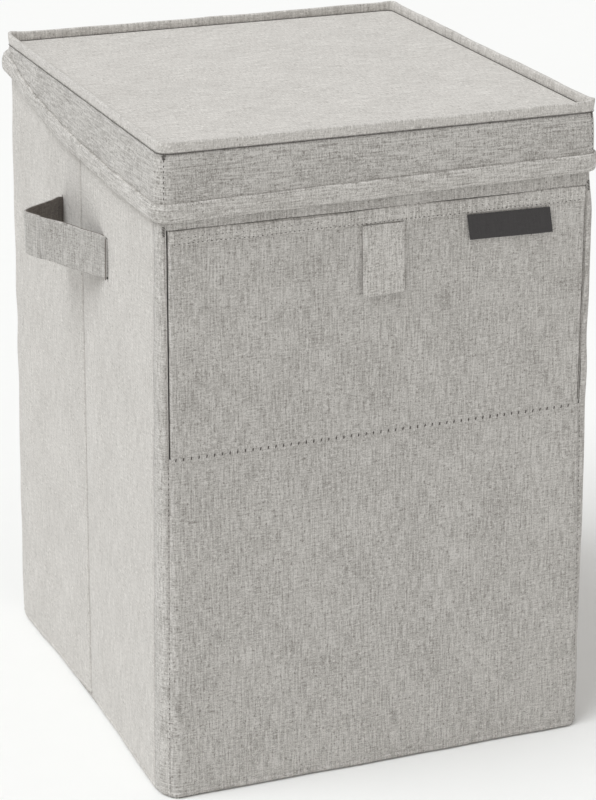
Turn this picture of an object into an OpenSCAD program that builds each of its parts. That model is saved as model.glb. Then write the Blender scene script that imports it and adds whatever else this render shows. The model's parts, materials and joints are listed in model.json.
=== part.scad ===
// Laundry hamper with a hinged lid, a drop-down front door and folding sides.
// It stands on z = 0, centred on its body, with the front facing -Y.
// Each wall is a stiff board between a woven cover and a lining.

/* [Body] */
// Width of the body over its covered walls
body_w = 300; // [298:1:320]
// Depth of the body over its covered walls
body_d = 328; // [300:1:328]
// Overall height, to the top of the lid's stacking rim
overall_h = 450; // [430:1:480]
// Radius of the four upright corners
corner_r = 8; // [6:0.5:10]

/* [Wall layers] */
// Thickness of the woven outer cover
cover_t = 0.8; // [0.5:0.1:1]
// Thickness of the stiff board in each wall
board_t = 2.6; // [2:0.1:3]
// Thickness of the inner lining
lining_t = 0.7; // [0.4:0.1:0.8]
// Thickness of the sewn fabric bottom
bottom_t = 1; // [0.8:0.1:1]

/* [Folding sides] */
// Depth that the front and back walls wrap round each corner
corner_return = 20; // [20:0.5:24]
// Gap between two boards at a fold
fold_gap = 0.6; // [0.4:0.1:1]
// Height of the folding walls' lower edges, clear of the base panel
wall_bottom = 5.4; // [5.2:0.1:7]

/* [Door] */
// Width of the front wall left standing on each side of the doorway
stile_w = 3; // [2.5:0.5:4]
// Height of the door's fold line above the ground
door_z = 241; // [225:1:245]
// Height of the door
door_h = 152; // [140:1:154]
// Slit round the door
door_slit = 2; // [1.5:0.1:3]
// Depth of the folded hem along the door's top edge
door_hem_h = 9.5; // [8:0.5:12]
// Thickness of that hem's extra layer
door_hem_t = 0.6; // [0.4:0.1:0.8]
// Height of the stop strip behind the door's top edge
stop_h = 30; // [26:1:36]
// Thickness of the stop strip
stop_t = 2.4; // [2:0.1:3]
// Radius of each disc magnet
magnet_r = 6; // [4:0.5:6]
// Distance of each magnet from the door's side edge
magnet_side = 22; // [15:1:40]
// Distance of each magnet below the door's top edge
magnet_down = 8; // [7:0.5:9]

/* [Pull tab and label] */
// Width of the pull tab
tab_w = 29; // [20:1:40]
// Length of the pull tab below the door's hem
tab_l = 47; // [35:1:60]
// Thickness of the folded webbing of the pull tab
tab_t = 1.6; // [1.2:0.1:2]
// Width of the blank label
label_w = 60; // [40:1:70]
// Height of the blank label
label_h = 17; // [12:1:20]
// Thickness of the label
label_t = 0.8; // [0.5:0.1:1]
// Sideways place of the label's middle
label_x = 89; // [60:1:100]
// Distance of the label's top edge below the door's top edge
label_down = 10.5; // [10:0.5:20]

/* [Lid] */
// Height of the stacking rim above the lid's panel
rim_h = 6; // [5:0.5:10]
// Thickness of the stacking rim
rim_t = 2.4; // [2:0.1:3]
// Depth of the lid's skirt at the front, below the lid's panel
skirt_front_h = 40; // [36:1:43]
// Depth of the lid's skirt at the rear, below the lid's panel
skirt_rear_h = 17; // [16:1:24]
// Height of the hem band round the skirt
hem_h = 12.5; // [10:0.5:14]
// Gap between the skirt and the body's walls
lid_clear = 0.4; // [0.4:0.1:0.8]
// Height of the hinge strip sewn to the back wall
hinge_strip_h = 18; // [14:1:24]

/* [Handles] */
// Width of the handle strap
handle_w = 30; // [20:1:36]
// Distance between a handle's two slits
handle_span = 96; // [80:1:104]
// Distance of the handle's middle in front of the side's fold line
handle_ahead = 7; // [0:0.5:8]
// Height of the handles' middle above the ground
handle_z = 346; // [320:1:355]
// How far the strap stands out from the wall
handle_bulge = 36; // [30:1:45]
// Thickness of the lined strap
strap_t = 1.8; // [1.4:0.1:2.2]
// Where the strap stands out furthest, as a share of the way from its front slit
strap_peak = 0.76; // [0.5:0.02:0.8]

/* [Base panel] */
// Gap between the base panel and the walls beside it
base_clear = 3; // [2.5:0.5:5]
// Gap between the base panel and the sewn bottom under it
base_lift = 0.3; // [0.3:0.05:0.4]
// Thickness of the base panel's under layer
base_liner_t = 0.4; // [0.3:0.1:0.4]
// Thickness of the base panel's board
base_board_t = 2; // [1.6:0.1:2]
// Thickness of the base panel's top cover
base_cover_t = 0.5; // [0.4:0.1:0.5]
// Thickness of the ribbon that lifts the base panel
ribbon_t = 0.5; // [0.3:0.1:0.5]

/* [Hidden] */

left = -1;
right = 1;
front = -1;
rear = 1;
cut = 1;
round_fn = 48;

fabric = [0.70, 0.68, 0.64];
hem_fabric = [0.66, 0.64, 0.60];
lining_colour = [0.84, 0.83, 0.80];
board_colour = [0.62, 0.50, 0.36];
steel = [0.75, 0.75, 0.77];
strap_colour = [0.67, 0.65, 0.61];
charcoal = [0.20, 0.20, 0.21];
strip_colour = [0.90, 0.90, 0.88];

// Each layer's outer and inner distance from the body's outer face
cover_layer = [0, cover_t];
board_layer = [cover_t, cover_t + board_t];
lining_layer = [cover_t + board_t, cover_t + board_t + lining_t];
wall_t = cover_t + board_t + lining_t;

// Heights of the lid's layers and of the walls under them
lid_z = overall_h - rim_h;
skirt_top = lid_z - cover_t;
lid_board_z = skirt_top - board_t;
lid_lining_z = lid_board_z - lining_t;
wall_top = lid_lining_z - 0.8;
hinge_strip_top = wall_top - 0.2;

// Where the front and back walls' returns end and the folding halves begin
return_y = body_d / 2 - corner_return;

// The doorway, the door in it, and the stop and magnets behind the door's top edge
door_side = body_w / 2 - stile_w - door_slit;
door_bottom = door_z + fold_gap / 2;
door_top = door_z + door_h;
magnet_x = door_side - magnet_side;
magnet_z = door_top - magnet_down;
magnet_fit = 0.15;
tab_top = door_top - door_hem_h - 0.3;
tab_gap = 0.3;
stop_side = body_w / 2 - corner_r;

// The lid's plan stands out from the body's by the skirt's gap and thickness
lid_over = lid_clear + cover_t;
hem_over = lid_over + cover_t;
skirt_steps = 16;

// A strap's two ends pass through slits a little larger than its section
slit_w = strap_t + 1.4;
slit_h = handle_w + 1.4;
anchor_t = 1.2;
anchor_size = [24, handle_w + 6];
strap_steps = 24;

// The base panel turns up about its rear lower edge, until it leans on the back wall
base_z = bottom_t + base_lift;
base_side = body_w / 2 - wall_t - base_clear;
base_front = -(body_d / 2 - wall_t - 2);
base_rear = body_d / 2 - wall_t - 4.7;
base_corner_r = 6;
ribbon_size = [20, 34];

// Height of the skirt's lower edge at depth y: level at the front, then rising
// with the cube of the way to the rear
function skirt_edge(y) =
    let (t = min(max((y + body_d / 2) / body_d, 0), 1))
    skirt_top - skirt_front_h + (skirt_front_h - skirt_rear_h) * pow(t, 3);

// Depth of step i along the lid's side, from in front of it to behind it
function skirt_y(i) = -(body_d / 2 + 4) + i * (body_d + 8) / skirt_steps;

// The strap's distance from the wall at share s of the way between its slits:
// a straight rise that peaks at strap_peak and falls off ever more steeply
function strap_out(s) =
    handle_bulge * (s / strap_peak)
    * pow((1 - s) / (1 - strap_peak), (1 - strap_peak) / strap_peak);

// Steps along the strap lie closer together towards its rear slit
function strap_share(i) = 1 - pow(1 - i / strap_steps, 2);
function strap_point(i) = [
    body_w / 2 + strap_out(strap_share(i)),
    (strap_share(i) - 0.5) * handle_span
];
function strap_normal(i) =
    let (
        a = strap_point(max(i - 1, 0)),
        b = strap_point(min(i + 1, strap_steps)),
        d = b - a
    )
    [d[1], -d[0]] / norm(d);
function strap_side(offset) = [
    for (i = [0:strap_steps]) strap_point(i) + strap_normal(i) * offset
];
function reversed(list) = [for (i = [len(list) - 1:-1:0]) list[i]];

// Distance of a strap slit from the side's fold line, at that end of the handle
function slit_y(end) = handle_span / 2 - end * handle_ahead;

// A box between two corners
module block(low, high) {
    translate(low)
        cube(high - low);
}

// Copies its children to the left or right side and to the front or rear
module placed(side, end) {
    mirror([side == left ? 1 : 0, 0, 0])
        mirror([0, end == front ? 1 : 0, 0])
            children();
}

// A rectangle with round corners
module rounded_rect(w, d, r) {
    square([w - 2 * r, d], center = true);
    square([w, d - 2 * r], center = true);
    for (x = [-1, 1], y = [-1, 1])
        translate([x * (w / 2 - r), y * (d / 2 - r)])
            circle(r, $fn = round_fn);
}

// The body's plan, taken in by inset
module plan(inset) {
    rounded_rect(body_w - 2 * inset, body_d - 2 * inset, corner_r - inset);
}

// One layer of the walls seen from above, between two distances from the outer face
module layer_plan(layer) {
    difference() {
        plan(layer[0]);
        plan(layer[1]);
    }
}

// One layer of the front or back wall, with its two corner returns
module channel(layer, end, bottom) {
    translate([0, 0, bottom])
        linear_extrude(wall_top - bottom)
            intersection() {
                layer_plan(layer);
                placed(right, end)
                    translate([-body_w, return_y + fold_gap / 2])
                        square([2 * body_w, body_d]);
            }
}

// One layer of the front wall, with the doorway cut out of it
module front_layer(layer) {
    difference() {
        channel(layer, front, wall_bottom);
        block(
            [-(body_w / 2 - stile_w), -body_d, door_z - fold_gap / 2],
            [body_w / 2 - stile_w, -(body_d / 2 - corner_r), door_top + door_slit]
        );
    }
}

// Everything between the round corners, less a margin at each side
module between_corners(margin) {
    side = body_w / 2 - corner_r - margin;
    block([-side, -body_d, 0], [side, body_d, overall_h]);
}

// The flat part of a front or back board
module flat_board() {
    intersection() {
        children();
        between_corners(fold_gap / 2);
    }
}

// The rest of that board: two round corner strips and two flat returns, each cut
// free along its fold lines
module corner_boards() {
    difference() {
        children();
        between_corners(-fold_gap / 2);
        for (end = [front, rear])
            translate([0, end * (body_d / 2 - corner_r), 0])
                block([-body_w, -fold_gap / 2, 0], [body_w, fold_gap / 2, overall_h]);
    }
}

// One layer of a folding half of a side wall, with the slit for the handle's strap
module half_layer(layer, side, end) {
    placed(side, end)
        difference() {
            block(
                [body_w / 2 - layer[1], fold_gap / 2, wall_bottom],
                [body_w / 2 - layer[0], return_y - fold_gap / 2, wall_top]
            );
            translate([body_w / 2, slit_y(end), handle_z])
                cube([2 * wall_t + cut, slit_w, slit_h], center = true);
        }
}

// The patch inside a wall that one end of a strap is sewn under
module anchor(side, end) {
    placed(side, end)
        translate([body_w / 2 - wall_t - anchor_t / 2, slit_y(end), handle_z])
            cube([anchor_t, anchor_size[0], anchor_size[1]], center = true);
}

// A handle: a strap that stands out between two slits and ends inside the wall
module handle(side) {
    placed(side, rear)
        translate([0, -handle_ahead, handle_z - handle_w / 2])
            linear_extrude(handle_w) {
                polygon(concat(strap_side(strap_t / 2), reversed(strap_side(-strap_t / 2))));
                for (end = [front, rear])
                    translate([body_w / 2 - wall_t, end * handle_span / 2 - strap_t / 2])
                        square([wall_t + strap_t / 2, strap_t]);
            }
}

// One layer of the door
module door_layer(layer) {
    block(
        [-door_side, -body_d / 2 + layer[0], door_bottom],
        [door_side, -body_d / 2 + layer[1], door_top]
    );
}

// Two discs across the thickness from y0 to y1, where the door's magnets sit
module magnet_pair(r, y0, y1) {
    for (side = [left, right])
        translate([side * magnet_x, y1, magnet_z])
            rotate([90, 0, 0])
                cylinder(h = y1 - y0, r = r, $fn = round_fn);
}

// The lid's outline, grown by over from the body's plan, between two heights
module lid_plate(over, z0, z1) {
    translate([0, 0, z0])
        linear_extrude(z1 - z0)
            plan(-over);
}

// A ring on the lid's outline, between two distances out from the body's plan
module lid_ring(outer, inner, z0, z1) {
    translate([0, 0, z0])
        linear_extrude(z1 - z0)
            layer_plan([-outer, -inner]);
}

// The space between the skirt's lower edge and the same edge raised by height,
// cut off level at the skirt's top, across the whole lid
module skirt_profile(height) {
    translate([-body_w, 0, 0])
        rotate([90, 0, 90])
            linear_extrude(2 * body_w)
                polygon(concat(
                    [for (i = [0:skirt_steps]) [skirt_y(i), skirt_edge(skirt_y(i))]],
                    [
                        for (i = [skirt_steps:-1:0])
                            [skirt_y(i), min(skirt_edge(skirt_y(i)) + height, skirt_top)]
                    ]
                ));
}

// The skirt's wall between two depths, on the side or sides that x0 and x1 take in
module skirt_wall(x0, x1, y0, y1) {
    intersection() {
        lid_ring(lid_over, lid_clear, skirt_top - skirt_front_h - cut, skirt_top);
        skirt_profile(overall_h);
        block([x0, y0, 0], [x1, y1, overall_h]);
    }
}

// One layer of the base panel
module base_layer(z, t) {
    translate([0, (base_front + base_rear) / 2, z])
        linear_extrude(t)
            rounded_rect(2 * base_side, base_rear - base_front, base_corner_r);
}

// ---- Back wall, sewn bottom and the lid's hinge strip ----

module back_cover() {
    color(fabric)
        channel(cover_layer, rear, bottom_t);
}

module back_board() {
    color(board_colour)
        flat_board()
            channel(board_layer, rear, bottom_t);
}

module back_corner_boards() {
    color(board_colour)
        corner_boards()
            channel(board_layer, rear, bottom_t);
}

module back_lining() {
    color(lining_colour)
        channel(lining_layer, rear, bottom_t);
}

module bottom_fabric() {
    color(fabric)
        linear_extrude(bottom_t)
            plan(0);
}

module lid_hinge_strip() {
    color(hem_fabric)
        block(
            [-(body_w / 2 - corner_r), body_d / 2, hinge_strip_top - hinge_strip_h],
            [body_w / 2 - corner_r, body_d / 2 + cover_t, hinge_strip_top]
        );
}

// ---- Folding side walls: two halves on each side ----

module rear_left_cover() {
    color(fabric)
        half_layer(cover_layer, left, rear);
}

module rear_left_board() {
    color(board_colour)
        half_layer(board_layer, left, rear);
}

module rear_left_lining() {
    color(lining_colour)
        half_layer(lining_layer, left, rear);
}

module left_rear_anchor() {
    color(hem_fabric)
        anchor(left, rear);
}

module front_left_cover() {
    color(fabric)
        half_layer(cover_layer, left, front);
}

module front_left_board() {
    color(board_colour)
        half_layer(board_layer, left, front);
}

module front_left_lining() {
    color(lining_colour)
        half_layer(lining_layer, left, front);
}

module left_front_anchor() {
    color(hem_fabric)
        anchor(left, front);
}

module rear_right_cover() {
    color(fabric)
        half_layer(cover_layer, right, rear);
}

module rear_right_board() {
    color(board_colour)
        half_layer(board_layer, right, rear);
}

module rear_right_lining() {
    color(lining_colour)
        half_layer(lining_layer, right, rear);
}

module right_rear_anchor() {
    color(hem_fabric)
        anchor(right, rear);
}

module front_right_cover() {
    color(fabric)
        half_layer(cover_layer, right, front);
}

module front_right_board() {
    color(board_colour)
        half_layer(board_layer, right, front);
}

module front_right_lining() {
    color(lining_colour)
        half_layer(lining_layer, right, front);
}

module right_front_anchor() {
    color(hem_fabric)
        anchor(right, front);
}

module left_handle() {
    color(strap_colour)
        handle(left);
}

module right_handle() {
    color(strap_colour)
        handle(right);
}

// ---- Front wall ----

module front_cover() {
    color(fabric)
        front_layer(cover_layer);
}

module front_board() {
    color(board_colour)
        flat_board()
            front_layer(board_layer);
}

module front_corner_boards() {
    color(board_colour)
        difference() {
            corner_boards()
                front_layer(board_layer);
            for (z = [door_z, door_top + door_slit])
                block(
                    [-body_w, -body_d, z - fold_gap / 2],
                    [body_w, -(body_d / 2 - corner_r), z + fold_gap / 2]
                );
        }
}

module front_lining() {
    color(lining_colour)
        front_layer(lining_layer);
}

module door_stop() {
    inner = -(body_d / 2 - wall_t);
    color(hem_fabric)
        difference() {
            block(
                [-stop_side, inner, door_top - stop_h / 2],
                [stop_side, inner + stop_t, door_top + stop_h / 2]
            );
            magnet_pair(magnet_r + magnet_fit, inner - cut, inner + stop_t + cut);
        }
}

module stop_magnets() {
    inner = -(body_d / 2 - wall_t);
    color(steel)
        magnet_pair(magnet_r, inner + 0.2, inner + stop_t);
}

// ---- Door ----

module door_cover() {
    color(fabric)
        door_layer(cover_layer);
}

module door_board() {
    color(board_colour)
        difference() {
            door_layer(board_layer);
            magnet_pair(magnet_r + magnet_fit, -body_d / 2 - cut, -body_d / 2 + wall_t + cut);
        }
}

module door_lining() {
    color(lining_colour)
        door_layer(lining_layer);
}

module door_hem() {
    color(hem_fabric)
        block(
            [-door_side, -body_d / 2 - door_hem_t, door_top - door_hem_h],
            [door_side, -body_d / 2, door_top]
        );
}

module door_magnets() {
    color(steel)
        magnet_pair(magnet_r, -body_d / 2 + board_layer[0], -body_d / 2 + board_layer[1]);
}

module blank_label() {
    top = door_top - label_down;
    color(charcoal)
        block(
            [label_x - label_w / 2, -body_d / 2 - label_t, top - label_h],
            [label_x + label_w / 2, -body_d / 2, top]
        );
}

module pull_tab() {
    color(strap_colour)
        block(
            [-tab_w / 2, -body_d / 2 - tab_gap - tab_t, tab_top - tab_l],
            [tab_w / 2, -body_d / 2 - tab_gap, tab_top]
        );
}

// ---- Lid ----

module lid_cover() {
    color(fabric)
        lid_plate(lid_over, skirt_top, lid_z);
}

module lid_board() {
    color(board_colour)
        lid_plate(0, lid_board_z, skirt_top);
}

module lid_lining() {
    color(lining_colour)
        lid_plate(0, lid_lining_z, lid_board_z);
}

// The rim's sleeve is open below, where the stiff strip stands in it
module lid_rim() {
    color(hem_fabric)
        difference() {
            lid_ring(lid_over, lid_over - rim_t, lid_z, overall_h);
            lid_ring(lid_over - 0.7, lid_over - rim_t + 0.7, lid_z - cut, overall_h - 1.2);
        }
}

module rim_strip() {
    color(strip_colour)
        lid_ring(lid_over - 0.7, lid_over - rim_t + 0.7, lid_z, overall_h - 1.2);
}

module lid_front_skirt() {
    color(fabric)
        skirt_wall(-(body_w / 2 - corner_r), body_w / 2 - corner_r, -body_d, 0);
}

module lid_left_skirt() {
    color(fabric)
        skirt_wall(-body_w, 0, -(body_d / 2 - corner_r), body_d / 2 - corner_r);
}

module lid_right_skirt() {
    color(fabric)
        skirt_wall(0, body_w, -(body_d / 2 - corner_r), body_d / 2 - corner_r);
}

// The skirt's two round front corners
module lid_skirt_corners() {
    color(fabric)
        for (side = [left, right])
            placed(side, rear)
                skirt_wall(
                    body_w / 2 - corner_r, body_w, -body_d, -(body_d / 2 - corner_r)
                );
}

module lid_hem() {
    color(hem_fabric)
        intersection() {
            lid_ring(hem_over, lid_over, skirt_top - skirt_front_h - cut, skirt_top);
            skirt_profile(hem_h);
            block([-body_w, -body_d, 0], [body_w, body_d / 2 - corner_r, overall_h]);
        }
}

// ---- Base panel ----

module base_liner() {
    color(lining_colour)
        base_layer(base_z, base_liner_t);
}

module base_board() {
    color(board_colour)
        base_layer(base_z + base_liner_t, base_board_t);
}

module base_cover() {
    color(lining_colour)
        base_layer(base_z + base_liner_t + base_board_t, base_cover_t);
}

module base_ribbon() {
    z = base_z + base_liner_t + base_board_t + base_cover_t;
    color(hem_fabric)
        block(
            [-ribbon_size[0] / 2, base_front + 6, z],
            [ribbon_size[0] / 2, base_front + 6 + ribbon_size[1], z + ribbon_t]
        );
}

back_cover();
back_board();
back_corner_boards();
back_lining();
bottom_fabric();
lid_hinge_strip();
rear_left_cover();
rear_left_board();
rear_left_lining();
left_rear_anchor();
front_left_cover();
front_left_board();
front_left_lining();
left_front_anchor();
rear_right_cover();
rear_right_board();
rear_right_lining();
right_rear_anchor();
front_right_cover();
front_right_board();
front_right_lining();
right_front_anchor();
left_handle();
right_handle();
front_cover();
front_board();
front_corner_boards();
front_lining();
door_stop();
stop_magnets();
door_cover();
door_board();
door_lining();
door_hem();
door_magnets();
blank_label();
pull_tab();
lid_cover();
lid_board();
lid_lining();
lid_rim();
rim_strip();
lid_front_skirt();
lid_left_skirt();
lid_right_skirt();
lid_skirt_corners();
lid_hem();
base_board();
base_cover();
base_liner();
base_ribbon();
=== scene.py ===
import json

import bmesh
import bpy
import numpy as np
from bpy.props import FloatProperty, FloatVectorProperty, PointerProperty
from bpy.types import Operator, Panel, PropertyGroup
from mathutils import Matrix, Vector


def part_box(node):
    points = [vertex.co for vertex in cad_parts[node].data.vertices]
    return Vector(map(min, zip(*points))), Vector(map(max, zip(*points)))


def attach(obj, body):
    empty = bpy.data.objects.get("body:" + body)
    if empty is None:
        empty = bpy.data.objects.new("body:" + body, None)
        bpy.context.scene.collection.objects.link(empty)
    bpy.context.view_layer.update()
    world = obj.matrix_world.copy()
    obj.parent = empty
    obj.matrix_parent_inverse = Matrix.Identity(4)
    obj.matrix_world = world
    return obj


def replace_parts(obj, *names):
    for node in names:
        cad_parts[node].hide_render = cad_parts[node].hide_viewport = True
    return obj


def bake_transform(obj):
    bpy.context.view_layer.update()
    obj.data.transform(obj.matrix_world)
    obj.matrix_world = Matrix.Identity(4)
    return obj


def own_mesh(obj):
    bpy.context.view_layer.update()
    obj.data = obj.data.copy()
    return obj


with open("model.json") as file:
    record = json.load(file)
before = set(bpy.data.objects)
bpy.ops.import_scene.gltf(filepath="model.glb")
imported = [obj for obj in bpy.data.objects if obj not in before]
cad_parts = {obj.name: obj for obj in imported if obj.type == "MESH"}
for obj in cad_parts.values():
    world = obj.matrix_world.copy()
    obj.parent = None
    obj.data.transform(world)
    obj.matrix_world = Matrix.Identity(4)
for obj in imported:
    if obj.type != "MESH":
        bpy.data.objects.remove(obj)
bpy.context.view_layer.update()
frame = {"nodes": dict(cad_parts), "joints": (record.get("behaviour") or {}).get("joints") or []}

bl_info = {
    "name": "Laundry Hamper Cloth and Stage",
    "version": (1, 0, 0),
    "blender": (4, 5, 0),
    "location": "View3D > Sidebar > Hamper",
    "description": "Sews the cloth of a folding laundry hamper round its boards",
    "category": "Object",
}


# ---- Sizes read from the frame, in metres ----

def corners(node):
    """The lowest and the highest corner of a frame node at rest, as arrays."""
    low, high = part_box(node)
    return np.array(low), np.array(high)


def pivot(name):
    """The point that a joint turns about."""
    return np.array(next(j["pos_m"] for j in frame["joints"] if j["name"] == name))


HALF_W = corners("front_cover")[1][0]
HALF_D = -corners("front_cover")[0][1]
WALL_TOP = corners("front_cover")[1][2]
CORNER_R = HALF_W - corners("lid_front_skirt")[1][0]
WALL_T = HALF_W + corners("front_left_lining")[1][0]
CORNER_FOLD_Y = -pivot("front_left_fold")[1]
HINGE_Z = pivot("door_hinge")[2]
DOOR_LOW, DOOR_HIGH = corners("door_cover")
HEM_LOW, HEM_HIGH = corners("door_hem")
TAB_LOW, TAB_HIGH = corners("pull_tab")
LABEL_LOW, LABEL_HIGH = corners("blank_label")
STOP_LOW, STOP_HIGH = corners("door_stop")
LID_LOW, LID_HIGH = corners("lid_cover")
RIM_TOP = corners("lid_rim")[1][2]
STRAP_LOW, STRAP_HIGH = corners("right_handle")
ANCHOR_LOW, ANCHOR_HIGH = corners("right_rear_anchor")
REAR_SLIT_Y = (ANCHOR_LOW[1] + ANCHOR_HIGH[1]) / 2
FRONT_SLIT_Y = sum(c[1] for c in corners("right_front_anchor")) / 2
LID_PIVOT = pivot("lid_hinge")

# Distances along the body's plan, from the middle of the front round to the rear
FRONT_RUN = HALF_W - CORNER_R
CORNER_RUN = CORNER_R * np.pi / 2
SIDE_RUN = 2 * (HALF_D - CORNER_R)
DOORWAY_SIDE = DOOR_HIGH[0] + 0.0016
DOORWAY_TOP = DOOR_HIGH[2] + 0.0010
SEAM_TURN = np.arcsin((DOORWAY_SIDE - FRONT_RUN) / CORNER_R)
SEAM = FRONT_RUN + CORNER_R * SEAM_TURN
CORNER_SEAM = FRONT_RUN + CORNER_RUN + 0.0045
BACK_SEAM = 0.140

# Heights of the cover over the boards' plan, outside and inside, and its foot's seam
COVER_LIFT = 0.0004
INNER_LIFT = 0.00035
FOOT_SEAM_Z = 0.0052

# Height of the hamper's middle, which the camera's distance is measured from
WALL_MIDDLE = 0.225

UP = np.array([0, 0, 1.0])
FORWARD = np.array([0, -1.0, 0])
REARWARD = np.array([0, 1.0, 0])
RIGHT = np.array([1.0, 0, 0])
SIDES = ((-1, "left"), (1, "right"))

# Each weave's contrast, the lift of its two thread colours, and its own colours if any
# The lifts and contrasts paint light and shade onto one cloth: the lit side and lid cloths are its
# painted lit copy, lighter and flatter, and the shaded cover and skirt cloths its painted shaded
# copy, darker.
WEAVES = {
    "shaded cover cloth": (1.28, 0.815),
    "lit side cloth": (0.72, 0.955),
    "lit lid cloth": (0.80, 1.01),
    "shaded skirt cloth": (1.5, 0.79),
    "rim cloth": (0.9, 0.97),
    "hem cloth": (1.35, 0.87),
    "strap cloth": (1.2, 0.71),
    "strap lining": (1.2, 1.0, (0.20, 0.175, 0.155), (0.09, 0.078, 0.068)),
    "label weave": (0.6, 1.0, (0.052, 0.048, 0.048), (0.03, 0.028, 0.028)),
}


def run_to_side(y):
    """Plan distance of the point at depth y on a side wall."""
    return FRONT_RUN + CORNER_RUN + (HALF_D - CORNER_R) + y


def run_to_rear(x):
    """Plan distance of the point at x on the back wall, reached round the right side."""
    return FRONT_RUN + 2 * CORNER_RUN + SIDE_RUN + FRONT_RUN - x


# ---- Settings ----

class HamperClothSettings(PropertyGroup):
    """The woven cover, its colours and how it hangs on the boards."""

    light_thread: FloatVectorProperty(
        name="Light thread", description="Colour of the light threads", subtype="COLOR",
        size=3, min=0, max=1, default=(0.76, 0.735, 0.70))
    dark_thread: FloatVectorProperty(
        name="Dark thread", description="Colour of the dark threads", subtype="COLOR",
        size=3, min=0, max=1, default=(0.33, 0.31, 0.285))
    thickness: FloatProperty(
        name="Cloth thickness", description="Thickness of the cover", unit="LENGTH",
        default=0.0007, min=0.0003, max=0.001)
    flare: FloatProperty(
        name="Flare", description="How far the corners spread at the bottom",
        unit="LENGTH", default=0.0052, min=0, max=0.008)
    crease_flare: FloatProperty(
        name="Flare at the crease", description="Share of the flare at a side's crease",
        subtype="FACTOR", default=0.16, min=0, max=1)
    swell: FloatProperty(
        name="Swell", description="How far the right side swells at its two corners",
        unit="LENGTH", default=0.0021, min=0, max=0.004)
    ripple: FloatProperty(
        name="Ripple", description="Height of the soft waves in the walls",
        unit="LENGTH", default=0.00032, min=0, max=0.001)
    grid: FloatProperty(
        name="Grid", description="Distance between the mesh lines of the walls",
        unit="LENGTH", default=0.003, min=0.002, max=0.01)


class HamperLidSettings(PropertyGroup):
    """The lid's rim, skirt and hem."""

    skirt_depth: FloatProperty(
        name="Skirt depth", description="Depth of the skirt's cloth at the front",
        unit="LENGTH", default=0.0292, min=0.02, max=0.04)
    hem_height: FloatProperty(
        name="Hem height", description="Height of the hem round the skirt",
        unit="LENGTH", default=0.0122, min=0.008, max=0.016)
    skirt_ripple: FloatProperty(
        name="Skirt ripple", description="Height of the waves in the skirt",
        unit="LENGTH", default=0.00042, min=0, max=0.002)
    rim_thickness: FloatProperty(
        name="Rim thickness", description="Thickness of the standing rim",
        unit="LENGTH", default=0.0031, min=0.0026, max=0.004)
    corner_radius: FloatProperty(
        name="Lid corner radius", description="Radius of the lid's corners",
        unit="LENGTH", default=0.0076, min=0.003, max=0.01)


class HamperThreadSettings(PropertyGroup):
    """The sewing thread."""

    colour: FloatVectorProperty(
        name="Thread", description="Colour of the sewing thread", subtype="COLOR",
        size=3, min=0, max=1, default=(0.045, 0.038, 0.033))
    width: FloatProperty(
        name="Thread width", description="Width of one stitch", unit="LENGTH",
        default=0.00055, min=0.0002, max=0.001)


class HamperStageSettings(PropertyGroup):
    """The camera, the lights and the floor."""

    azimuth: FloatProperty(
        name="Azimuth", description="Bearing of the camera, 0 in front",
        subtype="ANGLE", default=np.radians(-22.04))
    elevation: FloatProperty(
        name="Elevation", description="Height angle of the camera",
        subtype="ANGLE", default=np.radians(20.06))
    roll: FloatProperty(
        name="Roll", description="Turn of the camera about its line of sight",
        subtype="ANGLE", default=np.radians(0.24))
    distance: FloatProperty(
        name="Distance", description="Distance of the camera from the hamper's middle",
        unit="LENGTH", default=2.0111)
    side_step: FloatProperty(
        name="Side step", description="Camera's step to its right", unit="LENGTH",
        default=0.00763)
    drop: FloatProperty(
        name="Drop", description="Camera's step down", unit="LENGTH", default=0.01694)
    lens: FloatProperty(
        name="Lens", description="Focal length in millimetres", default=127.4, min=20)
    sky: FloatProperty(
        name="Sky", description="Strength of the even light", default=0.60, min=0)
    key: FloatProperty(
        name="Key light", description="Strength of the light at the upper left",
        default=1.86, min=0)
    floor_colour: FloatVectorProperty(
        name="Floor", description="Colour of the floor", subtype="COLOR", size=3,
        min=0, max=1, default=(0.90, 0.90, 0.89))


# ---- Grids and meshes ----

def lines(low, high, step, at=(), spread=0.0012):
    """Grid lines from low to high about step apart, with close ones round each place in
    at, which is itself a line."""
    plain = np.linspace(low, high, max(int(round((high - low) / step)), 1) + 1)
    at = np.array(sorted(at), float)
    if len(at) == 0:
        return plain
    clear = np.abs(plain[:, None] - at[None, :]).min(axis=1) > 2.6 * spread
    clear[[0, -1]] = True
    close = (at[:, None] + spread * np.array([-2, -1, -0.5, 0, 0.5, 1, 2])).ravel()
    close = close[(close > low + spread / 5) & (close < high - spread / 5)]
    inside = at[(at > low) & (at < high)]
    return np.unique(np.round(np.concatenate([plain[clear], close, inside]), 7))


def smooth(t):
    """Eases from 0 to 1 as t goes from 0 to 1: 3t² - 2t³."""
    t = np.clip(t, 0, 1)
    return t * t * (3 - 2 * t)


def bump(distance, width):
    """A bell of height 1: exp(-(distance / width)²)."""
    return np.exp(-((distance / width) ** 2))


def ripple(u, v, seed, wave=0.06):
    """Soft waves between about -1 and 1: the sum of seven sine waves of mixed lengths
    near wave, each running its own way across the cloth."""
    rng = np.random.default_rng(seed)
    total = 0
    for turn, length, phase in rng.uniform((0, 0.6, 0), (np.pi, 1.7, 2 * np.pi), (7, 3)):
        across = u * np.cos(turn) + v * np.sin(turn)
        total = total + np.sin(2 * np.pi * across / (wave * length) + phase)
    return total / 3


def spread(u, v):
    """Two rows of grid lines as two arrays of one shape, u by v."""
    return np.broadcast_arrays(u[:, None], v[None, :])


def stacked(*parts):
    """Arrays that fit each other, side by side on a new last axis."""
    return np.stack(np.broadcast_arrays(*parts), axis=-1)


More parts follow.
